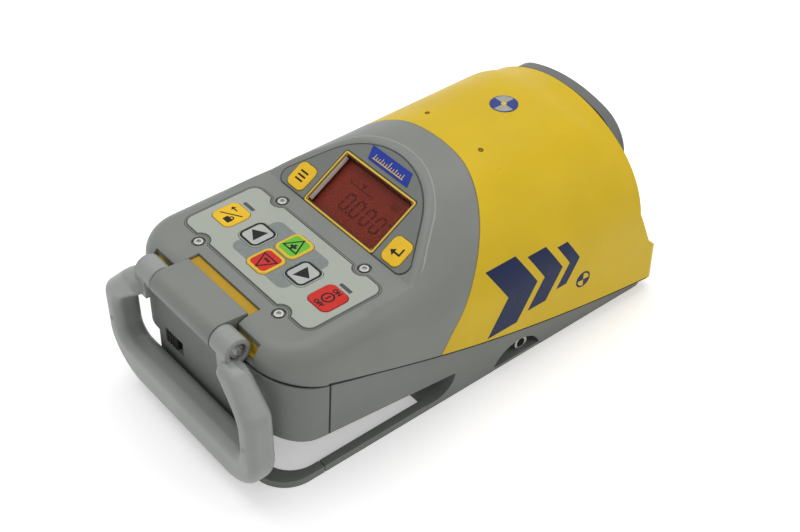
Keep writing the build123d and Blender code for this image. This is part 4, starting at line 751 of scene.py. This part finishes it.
def finish_piece(name, body, mesh, material):
    """Turns a mesh into a piece that rides on a body."""
    bmesh.ops.recalc_face_normals(mesh, faces=mesh.faces)
    data = bpy.data.meshes.new(name)
    mesh.to_mesh(data)
    mesh.free()
    data.materials.append(material)
    piece = bpy.data.objects.new(name, data)
    bpy.context.scene.collection.objects.link(piece)
    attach(piece, body)


def bridge(mesh, near, far):
    """Band of faces between two closed loops of points."""
    for i in range(len(near)):
        mesh.faces.new((near[i - 1], near[i], far[i], far[i - 1]))


def skin(mesh, rings):
    """Closed skin through rings of points, with both ends capped."""
    for near, far in zip(rings, rings[1:]):
        bridge(mesh, near, far)
    mesh.faces.new(rings[0])
    mesh.faces.new(rings[-1][::-1])


def film(name, body, sheet, shapes, material, slot, low=-INK_SINK, high=INK_T):
    """Thin closed plates on a face. A shape is one loop of points, or an outer and an inner loop."""
    mesh = bmesh.new()
    for shape in shapes:
        feet = [[mesh.verts.new(sheet.at(u, v, low)) for u, v in loop] for loop in shape]
        tops = [[mesh.verts.new(sheet.at(u, v, high)) for u, v in loop] for loop in shape]
        if len(shape) == 1:
            skin(mesh, [feet[0], tops[0]])
        else:
            rings = [*feet, *reversed(tops)]
            for near, far in zip(rings, rings[1:] + rings[:1]):
                bridge(mesh, near, far)
    finish_piece(name, body, mesh, material)


def cut_film(name, body, sheet, outer, holes, material, high):
    """Thin closed plate with an outer loop, less what lies inside the holes."""
    spots, faces = [], []
    for loop in [outer, *holes]:
        faces.append(list(range(len(spots), len(spots) + len(loop))))
        spots += [Vector(spot) for spot in loop]
    spots, _, triangles, _, _, owners = delaunay_2d_cdt(spots, [], faces, 1, CUT_SLACK)
    mesh = bmesh.new()
    tops = [mesh.verts.new(sheet.at(u, v, high)) for u, v in spots]
    feet = [mesh.verts.new(sheet.at(u, v, -INK_SINK)) for u, v in spots]
    sides = set()
    for corners, owner in zip(triangles, owners):
        if owner == [0]:
            mesh.faces.new([tops[i] for i in corners])
            mesh.faces.new([feet[i] for i in corners[::-1]])
            sides.update(zip(corners, corners[1:] + corners[:1]))
    for start, end in sides:
        if (end, start) not in sides:
            mesh.faces.new((tops[start], feet[start], feet[end], tops[end]))
    loose = [vertex for vertex in mesh.verts if not vertex.link_faces]
    bmesh.ops.delete(mesh, geom=loose, context="VERTS")
    finish_piece(name, body, mesh, material)


def node_tree(node):
    """Surface of a node, for finding where a line meets it."""
    data = NODES[node].data
    points = [vertex.co for vertex in data.vertices]
    return BVHTree.FromPolygons(points, [tuple(face.vertices) for face in data.polygons])


# Legends on the keys


def outline_key(node, material, slot):
    """Line round the top of a key."""
    face = key_face(node)
    film(node + "_outline", node, face, [band(*face.size, KEY_CORNER, KEY_STROKE)], material, slot)


def arrow_key(node, turn):
    """Key with a black outline and a filled triangle."""
    outline_key(node, BLACK_INK, "black_plastic")
    shape = [triangle(ARROW_REACH, ARROW_HALF_BASE, turn)]
    film(node + "_arrow", node, key_face(node), [shape], BLACK_INK, "black_plastic")


def sign_key(node, turn, sign):
    """Key with a yellow outline and a sign in a triangle, which is nearer the triangle's base."""
    outline_key(node, YELLOW_INK, "key_yellow")
    lift = -SIGN_DROP * math.cos(math.radians(turn))
    shapes = [hollow_triangle(SIGN_REACH, SIGN_HALF_BASE, SIGN_STROKE, turn)]
    shapes.append([shifted(loop, 0, lift) for loop in sign])
    film(node + "_sign", node, key_face(node), shapes, BLACK_INK, "black_plastic")


def lock_key():
    """Slash between a return arrow and a padlock."""
    slash = bar((-SLASH_END[0], -SLASH_END[1]), SLASH_END, SLASH_W)
    outer, inner = (circle(radius, 0, 180) for radius in SHACKLE_R)
    shackle = shifted(outer + inner[::-1], *SHACKLE_AT)
    padlock = [[shifted(loop, *LOCK_AT)] for loop in (rounded(*LOCK_BODY), shackle)]
    arrow = [[shifted(loop, *BACK_AT)] for loop in (BACK_HEAD, *bar(*BACK_TAIL, SLASH_W))]
    shapes = [slash, *padlock, *arrow]
    film("key_lock_legend", "key_lock", key_face("key_lock"), shapes, BLACK_INK, "black_plastic")


def power_key():
    """Ring and bar between the two switch words."""
    face = key_face("key_power")
    shapes = [ring(POWER_R, POWER_STROKE), upright_bar(0, (-POWER_BAR, POWER_BAR), POWER_STROKE)]
    film("key_power_ring", "key_power", face, shapes, BLACK_INK, "black_plastic")
    for word, v in SWITCH_WORDS.items():
        switch_word("key_power_" + word.lower(), "key_power", face, word, v)


def switch_word(name, body, face, word, foot):
    """Word laid on a face at the height of its foot, as a thin plate."""
    text = bpy.data.curves.new(name, "FONT")
    text.body = word
    text.size = WORD_SIZE
    text.align_x = "CENTER"
    text.offset = WORD_BOLD
    text.extrude = (INK_T + INK_SINK) / 2
    holder = bpy.data.objects.new(name, text)
    bpy.context.scene.collection.objects.link(holder)
    bpy.context.view_layer.update()
    mesh = bmesh.new()
    mesh.from_mesh(bpy.data.meshes.new_from_object(holder))
    bpy.data.objects.remove(holder)
    for vertex in mesh.verts:
        u, v, height = vertex.co
        vertex.co = face.at(u, foot + v, height + (INK_T - INK_SINK) / 2)
    bmesh.ops.remove_doubles(mesh, verts=mesh.verts, dist=WELD * MM)
    finish_piece(name, body, mesh, BLACK_INK)


def menu_key():
    """Three level bars."""
    shapes = [bar((-MENU_BAR_HALF, v), (MENU_BAR_HALF, v), MENU_STROKE) for v in MENU_BARS]
    film("key_menu_bars", "key_menu", key_face("key_menu"), shapes, BLACK_INK, "black_plastic")


def enter_key():
    """Arrow that comes down and turns to the left."""
    shape = [ENTER_HEAD + ENTER_TAIL]
    film("key_enter_arrow", "key_enter", key_face("key_enter"), [shape], BLACK_INK, "black_plastic")


def keypad_print():
    """Darker field behind the four middle keys, open round each key."""
    plate = level_face("keypad_plate")
    keys = [key_face(node) for node in MIDDLE_KEYS]
    spans = []
    for axis, middle in enumerate(plate.middle):
        spots = [(face.middle[axis] - middle) / MM for face in keys]
        spans.append((min(spots), max(spots)))
    (left, right), (low, high) = spans
    field = rounded(right - left + FIELD_WIDER, high - low + FIELD_TALLER, FIELD_R)
    outer = shifted(field, (left + right) / 2, (low + high) / 2)
    holes = [loop[::-1] for loop in face_loops("keypad_plate", plate)[1:]]
    cut_film("keypad_field", "housing", plate, outer, holes, PATCH_INK, INK_T / 2)


def edge_shades():
    """Painted shade along the edge of the display overlay and of the keypad plate, and in the groove round
    the plate.
    """
    overlay = slope_face("display_overlay")
    loop = face_loop("display_overlay", overlay)
    edge = [loop, offset(loop, OVERLAY_EDGE)]
    film("overlay_edge_shade", "housing", overlay, [edge], GROOVE_SHADE, "overlay_grey")
    plate = level_face("keypad_plate")
    loop = face_loop("keypad_plate", plate)
    edge = [loop, offset(loop, PLATE_EDGE)]
    film("plate_edge_shade", "housing", plate, [edge], GROOVE_SHADE, "plate_grey")
    groove = [offset(loop, -GROOVE_OUT - GROOVE_W), offset(loop, -GROOVE_OUT)]
    above = plate.at(*groove[1][0], GROOVE_OUT)
    spot = node_tree("control_cover").ray_cast(above, -LEVEL_NORMAL)[0]
    drop = (spot.z - plate.level) / MM
    layer = {"low": drop - INK_SINK, "high": drop + INK_T / 2}
    film("plate_groove_shade", "housing", plate, [groove], GROOVE_SHADE, "grey_shell", **layer)


# Display


def segment(start, end):
    """Pointed segment of a digit, a little short of both ends."""
    along = (end - start).normalized()
    tip = along * (DIGIT_STROKE / 2)
    side = Vector((-tip.y, tip.x))
    start = start + along * DIGIT_GAP
    end = end - along * DIGIT_GAP
    return [start, start + tip - side, end - tip - side, end, end - tip + side, start + tip + side]


def zero_shapes(u0, v0):
    """Leaning nought of six segments with its lower left corner at (u0, v0)."""
    near = DIGIT_STROKE / 2
    heights = (near, DIGIT_H / 2, DIGIT_H - near)
    left = [Vector((near, height)) for height in heights]
    right = [Vector((DIGIT_W - near, height)) for height in heights]
    lines = [(left[0], right[0]), (left[2], right[2])]
    for column in (left, right):
        lines += zip(column, column[1:])
    loops = [segment(start, end) for start, end in lines]
    return [[[(u0 + p.x + DIGIT_LEAN * p.y, v0 + p.y) for p in loop]] for loop in loops]


def reading_shapes():
    """Grade reading, with a per cent sign made of two dots and a stroke."""
    shapes = []
    u, v = READING_AT
    for character in READING:
        if character == ".":
            shapes.append([shifted(circle(POINT_R), u + POINT_AT[0], v + POINT_AT[1])])
        else:
            shapes += zero_shapes(u, v)
            u += DIGIT_PITCH
    percent = [[shifted(circle(PERCENT_R), *spot)] for spot in PERCENT_DOTS]
    percent.append(bar(*PERCENT_SLASH, PERCENT_STROKE))
    return shapes + [[shifted(loop, u, v) for loop in shape] for shape in percent]


def display_print():
    """Grade reading below a small level line and a battery sign."""
    shapes = reading_shapes()
    shapes.append(bar((LINE_U[0], LINE_V), (LINE_U[1], LINE_V), LINE_STROKE))
    shapes.append([shifted(triangle(POINTER_REACH, POINTER_HALF_BASE, 180), *POINTER_AT)])
    shapes += [upright_bar(u, LINE_TICK_V, LINE_TICK_STROKE) for u in LINE_TICKS]
    shapes.append([shifted(loop, *BATTERY_AT) for loop in band(*BATTERY_BOX, BATTERY_STROKE)])
    shapes += [upright_bar(u, BATTERY_BAR_V, BATTERY_BAR_STROKE) for u in BATTERY_BARS]
    face = slope_face("lcd_module")
    film("display_reading", "housing", face, shapes, LCD_INK, "display_glass", **READING_LAYER)


def display_liner():
    """Dark gasket on the inner walls of the display frame, its lip, and a pale strip painted as a
    reflection on the edge of the window.
    """
    window = slope_face("display_window")
    rim = slope_face("display_frame")
    width, height = (size - 2 * (FRAME_BAND + LINER_GAP) for size in rim.size)
    wall = {"low": LINER_GAP, "high": (rim.level - window.level) / MM - LINER_DROP}
    opening = rounded(width, height, LINER_T)
    gasket = [opening, rounded(width - 2 * LINER_T, height - 2 * LINER_T, LINER_T / 2)]
    film("display_liner", "housing", window, [gasket], LINER, "black_plastic", **wall)
    lip = [rounded(width + 2 * LIP_W, height + 2 * LIP_W, LIP_W), opening]
    film("display_lip", "housing", rim, [lip], LINER, "black_plastic")
    left = LINER_T - width / 2
    right = left + GLINT_T
    top = height / 2 - GLINT_END
    glint = [(left, -top), (right, -top), (right, top), (left, top)]
    film("display_glint", "housing", window, [[glint]], PAINTED_GLINT, "clear_glass", **wall)


def tick_reach(step):
    """Length of a tick of the scale, counted from the middle."""
    if step == 0:
        return TICK_REACH["middle"]
    return TICK_REACH["plain" if step % TICK_GROUP else "group"]


def badge_print():
    """Plain scale of ticks, longest in the middle."""
    shapes = [bar((-SCALE_HALF, SCALE_V), (SCALE_HALF, SCALE_V), SCALE_STROKE)]
    for step in range(-TICKS_A_SIDE, TICKS_A_SIDE + 1):
        span = (TICK_FOOT, TICK_FOOT + tick_reach(step))
        shapes.append(upright_bar(step * TICK_PITCH, span, SCALE_STROKE))
    film("badge_ticks", "housing", slope_face("badge_plate"), shapes, YELLOW_INK, "frame_yellow")


def centre_mark_print():
    """Quartered disc on the top and on each side, with a dot at the turning centre on the top."""
    top = level_face("centre_mark_top")
    radius = top.size[0] / 2
    shapes = [quarter_disc(MARK_TOP * radius, start) for start in (90, 270)]
    film("centre_mark_top_print", "housing", top, shapes, WHITE_INK, "plate_grey")
    dot = [circle(MARK_DOT * radius)]
    film("centre_mark_top_dot", "housing", top, [dot], YELLOW_INK, "frame_yellow", high=2 * INK_T)
    for name, side in SIDES:
        face = Sheet("centre_marks_side", Vector((0, side, 0)), Vector((0, 0, 1)))
        shapes = [quarter_disc(MARK_SIDE * face.size[0] / 2, start) for start in (0, 180)]
        film("centre_mark_print_" + name, "housing", face, shapes, YELLOW_INK, "frame_yellow")


# Navy chevrons on the sides of the hood, pointing along the beam


def on_side(trees, side, x, z, lift):
    """Point on the outside of one flank, lifted off it, from a place seen square from that side."""
    start = Vector((x - FRONT_X, side * FAR_OUT, z)) * MM
    hits = [tree.ray_cast(start, Vector((0, -side, 0))) for tree in trees]
    spot, normal, _, _ = min((hit for hit in hits if hit[0]), key=lambda hit: hit[3])
    return spot + Vector((0, normal.y, normal.z)).normalized() * (lift * MM)


def chevron_layer(mesh, tree, side, size, lift):
    """Rows of points across a chevron, each from its lower to its upper end."""
    start, width, reach = size
    across, along = CHEVRON_STEPS
    rows = []
    for i in range(across + 1):
        row = []
        for j in range(-along, along + 1):
            share = j / along
            x = start + width * i / across + CHEVRON_SLANT * reach * (1 - abs(share))
            row.append(mesh.verts.new(on_side([tree], side, x, CHEVRON_Z + reach * share, lift)))
        rows.append(row)
    return rows


def chevron(mesh, tree, side, size):
    """Closed film in the shape of one chevron, laid on the hood."""
    layers = [chevron_layer(mesh, tree, side, size, lift) for lift in (CHEVRON_LIFT, -CHEVRON_LIFT)]
    for rows in layers:
        for near, far in zip(rows, rows[1:]):
            for j in range(len(near) - 1):
                mesh.faces.new((near[j], far[j], far[j + 1], near[j + 1]))
    rims = []
    for rows in layers:
        low = [row[0] for row in rows]
        high = [row[-1] for row in rows]
        rims.append(low[:-1] + rows[-1][:-1] + high[:0:-1] + rows[0][:0:-1])
    bridge(mesh, *rims)


def hood_chevrons():
    """Three chevrons on each side, smaller along the beam."""
    tree = node_tree("main_housing")
    for name, side in SIDES:
        mesh = bmesh.new()
        for size in CHEVRONS:
            chevron(mesh, tree, side, size)
        finish_piece("hood_chevrons_" + name, "housing", mesh, NAVY_INK)


# Lines along the edges of the shells, and the lip below each leg recess


def bead(one, other):
    """Corners of a thin bead between two places, each a place and a lift."""
    return [(one, SEAM_LIFT), (other, SEAM_LIFT), (other, -SEAM_LIFT), (one, -SEAM_LIFT)]


def flank_line(name, trees, side, rows):
    """Thin dark bead laid on one flank, through rows of corners given as x, z and lift."""
    mesh = bmesh.new()
    skin(mesh, [[mesh.verts.new(on_side(trees, side, *corner)) for corner in row] for row in rows])
    finish_piece(name, "housing", mesh, FINISHES["black_rubber"])


def seal_and_shadow_lines():
    """Edge of the seal with painted shadow under the shells' lower edge, as a dark line along both flanks
    below the upper shells.
    """
    trees = [node_tree("control_cover"), node_tree("main_housing")]
    for name, side in SIDES:
        rows = []
        for step in range(SEAM_STEPS + 1):
            x = between(SEAM_X, step / SEAM_STEPS)
            below = Vector((x - FRONT_X, side * SEAM_Y, -1)) * MM
            hits = [tree.ray_cast(below, LEVEL_NORMAL) for tree in trees]
            edge = min(hit[0].z for hit in hits if hit[0]) / MM
            rows.append([(x, z, lift) for z, lift in bead(edge + SEAM_W, edge + SEAM_LIFT)])
        flank_line("seal_and_shadow_line_" + name, trees, side, rows)


def cap_joints():
    """Gap between the battery cover and the base, seen on both flanks."""
    trees = [node_tree("battery_cover"), node_tree("base_casting")]
    heights = [between(CAP_Z, step / CAP_STEPS) for step in range(CAP_STEPS + 1)]
    rows = [[(x, z, lift) for x, lift in bead(*CAP_X)] for z in heights]
    for name, side in SIDES:
        flank_line("cap_joint_" + name, trees, side, rows)


def slope_crease_highlight():
    """Pale bead painted as a highlight on the edge round the sloping face of the cover, beside the display
    overlay.
    """
    tree = node_tree("control_cover")
    sheet = slope_face("display_overlay")
    loop = filled_in(face_loop("display_overlay", sheet), CREASE_PITCH)
    start = min(v for u, v in loop) + CREASE_FROM
    first = next(i for i, (u, v) in enumerate(loop) if v > start >= loop[i - 1][1])
    loop = loop[first:] + loop[:first]
    count = next(i for i, (u, v) in enumerate(loop) if v <= start)
    mesh = bmesh.new()
    lines = []
    for across, lift in CREASE_BEAD:
        line = []
        for i, (u, v) in enumerate(offset(loop, -CREASE_OUT - across)[:count]):
            spot, normal, _, _ = tree.ray_cast(sheet.at(u, v, CREASE_OUT), -SLOPE_NORMAL)
            shown = min(i / CREASE_FADE, (count - 1 - i) / CREASE_FADE, 1)
            height = lift - CREASE_SINK * (1 - shown)
            line.append(mesh.verts.new(spot + normal * (height * MM)))
        lines.append(line)
    skin(mesh, list(zip(*lines)))
    finish_piece("slope_crease_highlight", "housing", mesh, CREASE_HIGHLIGHT)


def bezel_shadow_line():
    """Painted shadow of the gap between the hood and the bezel, as a thin dark collar round the back of
    the bezel.
    """
    face = Sheet("aperture_bezel", Vector((1, 0, 0)), Vector((0, 0, 1)))
    loop = face_loop("aperture_bezel", face)
    collar = [offset(loop, -BEZEL_LINE_OUT), offset(loop, BEZEL_LINE_IN)]
    layer = {"low": -BEZEL_T, "high": BEZEL_LINE_W - BEZEL_T}
    film("bezel_shadow_line", "housing", face, [collar], FINISHES["black_rubber"], "black_rubber", **layer)


def pit_shade_rims():
    """Painted shade, as a dark rim round each pit in the top of the hood."""
    tree = node_tree("main_housing")
    mesh = bmesh.new()
    for _, side in SIDES:
        loops = []
        for radius, height in zip(PIT_SHADE_RIM + PIT_SHADE_RIM[::-1], (INK_T, INK_T, -INK_SINK, -INK_SINK)):
            loop = []
            for u, v in circle(radius):
                above = Vector((PIT_X - FRONT_X + u, side * PIT_Y + v, FAR_OUT)) * MM
                spot = tree.ray_cast(above, -LEVEL_NORMAL)[0]
                loop.append(mesh.verts.new(spot + LEVEL_NORMAL * (height * MM)))
            loops.append(loop)
        for near, far in zip(loops, loops[1:] + loops[:1]):
            bridge(mesh, near, far)
    finish_piece("pit_shade_rims", "housing", mesh, BLACK_INK)


def leg_lips():
    """Thin lip that closes the foot of each leg recess."""
    for name, side in SIDES:
        mesh = bmesh.new()
        levels = []
        for z, flare in zip(LIP_Z, (0, LIP_FLARE)):
            inner, outer = LIP_Y[0], LIP_Y[1] + flare
            plan = [(LIP_X[0], inner), (LIP_X[1], inner), (LIP_X[1], outer), (LIP_X[0], outer)]
            spots = [Vector((x - FRONT_X, side * y, z)) * MM for x, y in plan]
            levels.append([mesh.verts.new(spot) for spot in spots])
        skin(mesh, levels)
        finish_piece("leg_lip_" + name, "housing", mesh, FINISHES["grey_base"])


# Studio


def camera():
    """Camera at the photograph's viewing angle."""
    data = bpy.data.cameras.new("photo_camera")
    data.sensor_width = CAMERA_SENSOR
    data.lens = CAMERA_LENS
    eye = bpy.data.objects.new("photo_camera", data)
    down = math.radians(CAMERA_DOWN)
    look = CAMERA_LOOK.normalized() * math.cos(down) - Vector((0, 0, math.sin(down)))
    eye.location = CAMERA_AT
    eye.rotation_euler = look.to_track_quat("-Z", "Y").to_euler()
    bpy.context.scene.collection.objects.link(eye)
    bpy.context.scene.camera = eye


def seen_directly(tree):
    """1 for rays that show the backdrop itself, also in gloss and through glass, and 0 for other rays."""
    path = tree.nodes.new("ShaderNodeLightPath")
    seen = path.outputs["Is Camera Ray"]
    for name in ("Is Glossy Ray", "Is Transmission Ray"):
        either = tree.nodes.new("ShaderNodeMath")
        either.operation = "MAXIMUM"
        tree.links.new(seen, either.inputs[0])
        tree.links.new(path.outputs[name], either.inputs[1])
        seen = either.outputs["Value"]
    return seen


def world():
    """White backdrop that lights the object less than it shows."""
    space = bpy.data.worlds.new("studio")
    bpy.context.scene.world = space
    space.use_nodes = True
    tree = space.node_tree
    strength = tree.nodes.new("ShaderNodeMapRange")
    tree.links.new(seen_directly(tree), strength.inputs["Value"])
    strength.inputs["To Min"].default_value = AMBIENT
    strength.inputs["To Max"].default_value = 1.0
    background = tree.nodes["Background"]
    background.inputs["Color"].default_value = WHITE
    tree.links.new(strength.outputs["Result"], background.inputs["Strength"])


def floor():
    """Plain pale floor that glows a little where it is seen."""
    data = bpy.data.meshes.new("studio_floor")
    corners = [(u * FLOOR_HALF, v * FLOOR_HALF, 0) for u, v in ((-1, -1), (1, -1), (1, 1), (-1, 1))]
    data.from_pydata(corners, [], [(0, 1, 2, 3)])
    finish = Finish("studio_floor")
    finish.set(Base_Color=FLOOR_WHITE, Roughness=FLOOR_ROUGHNESS, Specular_IOR_Level=0.0)
    finish.set(Emission_Color=WHITE)
    seen = seen_directly(finish.tree)
    glow = finish.add("ShaderNodeMath", {0: seen}, {1: FLOOR_GLOW}, operation="MULTIPLY")
    finish.link(glow.outputs["Value"], "Emission Strength")
    data.materials.append(finish.material)
    ground = bpy.data.objects.new("studio_floor", data)
    bpy.context.scene.collection.objects.link(ground)


def lamp(name, size, power, place, target):
    """Soft rectangular light that points at a target."""
    data = bpy.data.lights.new(name, "AREA")
    data.shape = "RECTANGLE"
    data.size, data.size_y = size
    data.energy = power
    light = bpy.data.objects.new(name, data)
    light.location = place
    light.rotation_euler = (Vector(target) - Vector(place)).to_track_quat("-Z", "Y").to_euler()
    bpy.context.scene.collection.objects.link(light)


def studio():
    """Backdrop, floor and lamps."""
    world()
    floor()
    for name, setting in LAMPS.items():
        lamp(name, *setting)


dress_nodes()
shade_strip()
edge_keys()
camera()
studio()
keypad_print()
edge_shades()
arrow_key("key_left", 90)
arrow_key("key_right", -90)
sign_key("key_plus", 0, plus_sign(SIGN_ARM, SIGN_BAR))
sign_key("key_minus", 180, bar((-SIGN_ARM, 0), (SIGN_ARM, 0), SIGN_BAR))
lock_key()
power_key()
menu_key()
enter_key()
display_print()
display_liner()
badge_print()
centre_mark_print()
hood_chevrons()
seal_and_shadow_lines()
cap_joints()
slope_crease_highlight()
bezel_shadow_line()
pit_shade_rims()
leg_lips()
bpy.context.scene.view_settings.view_transform = "Standard"
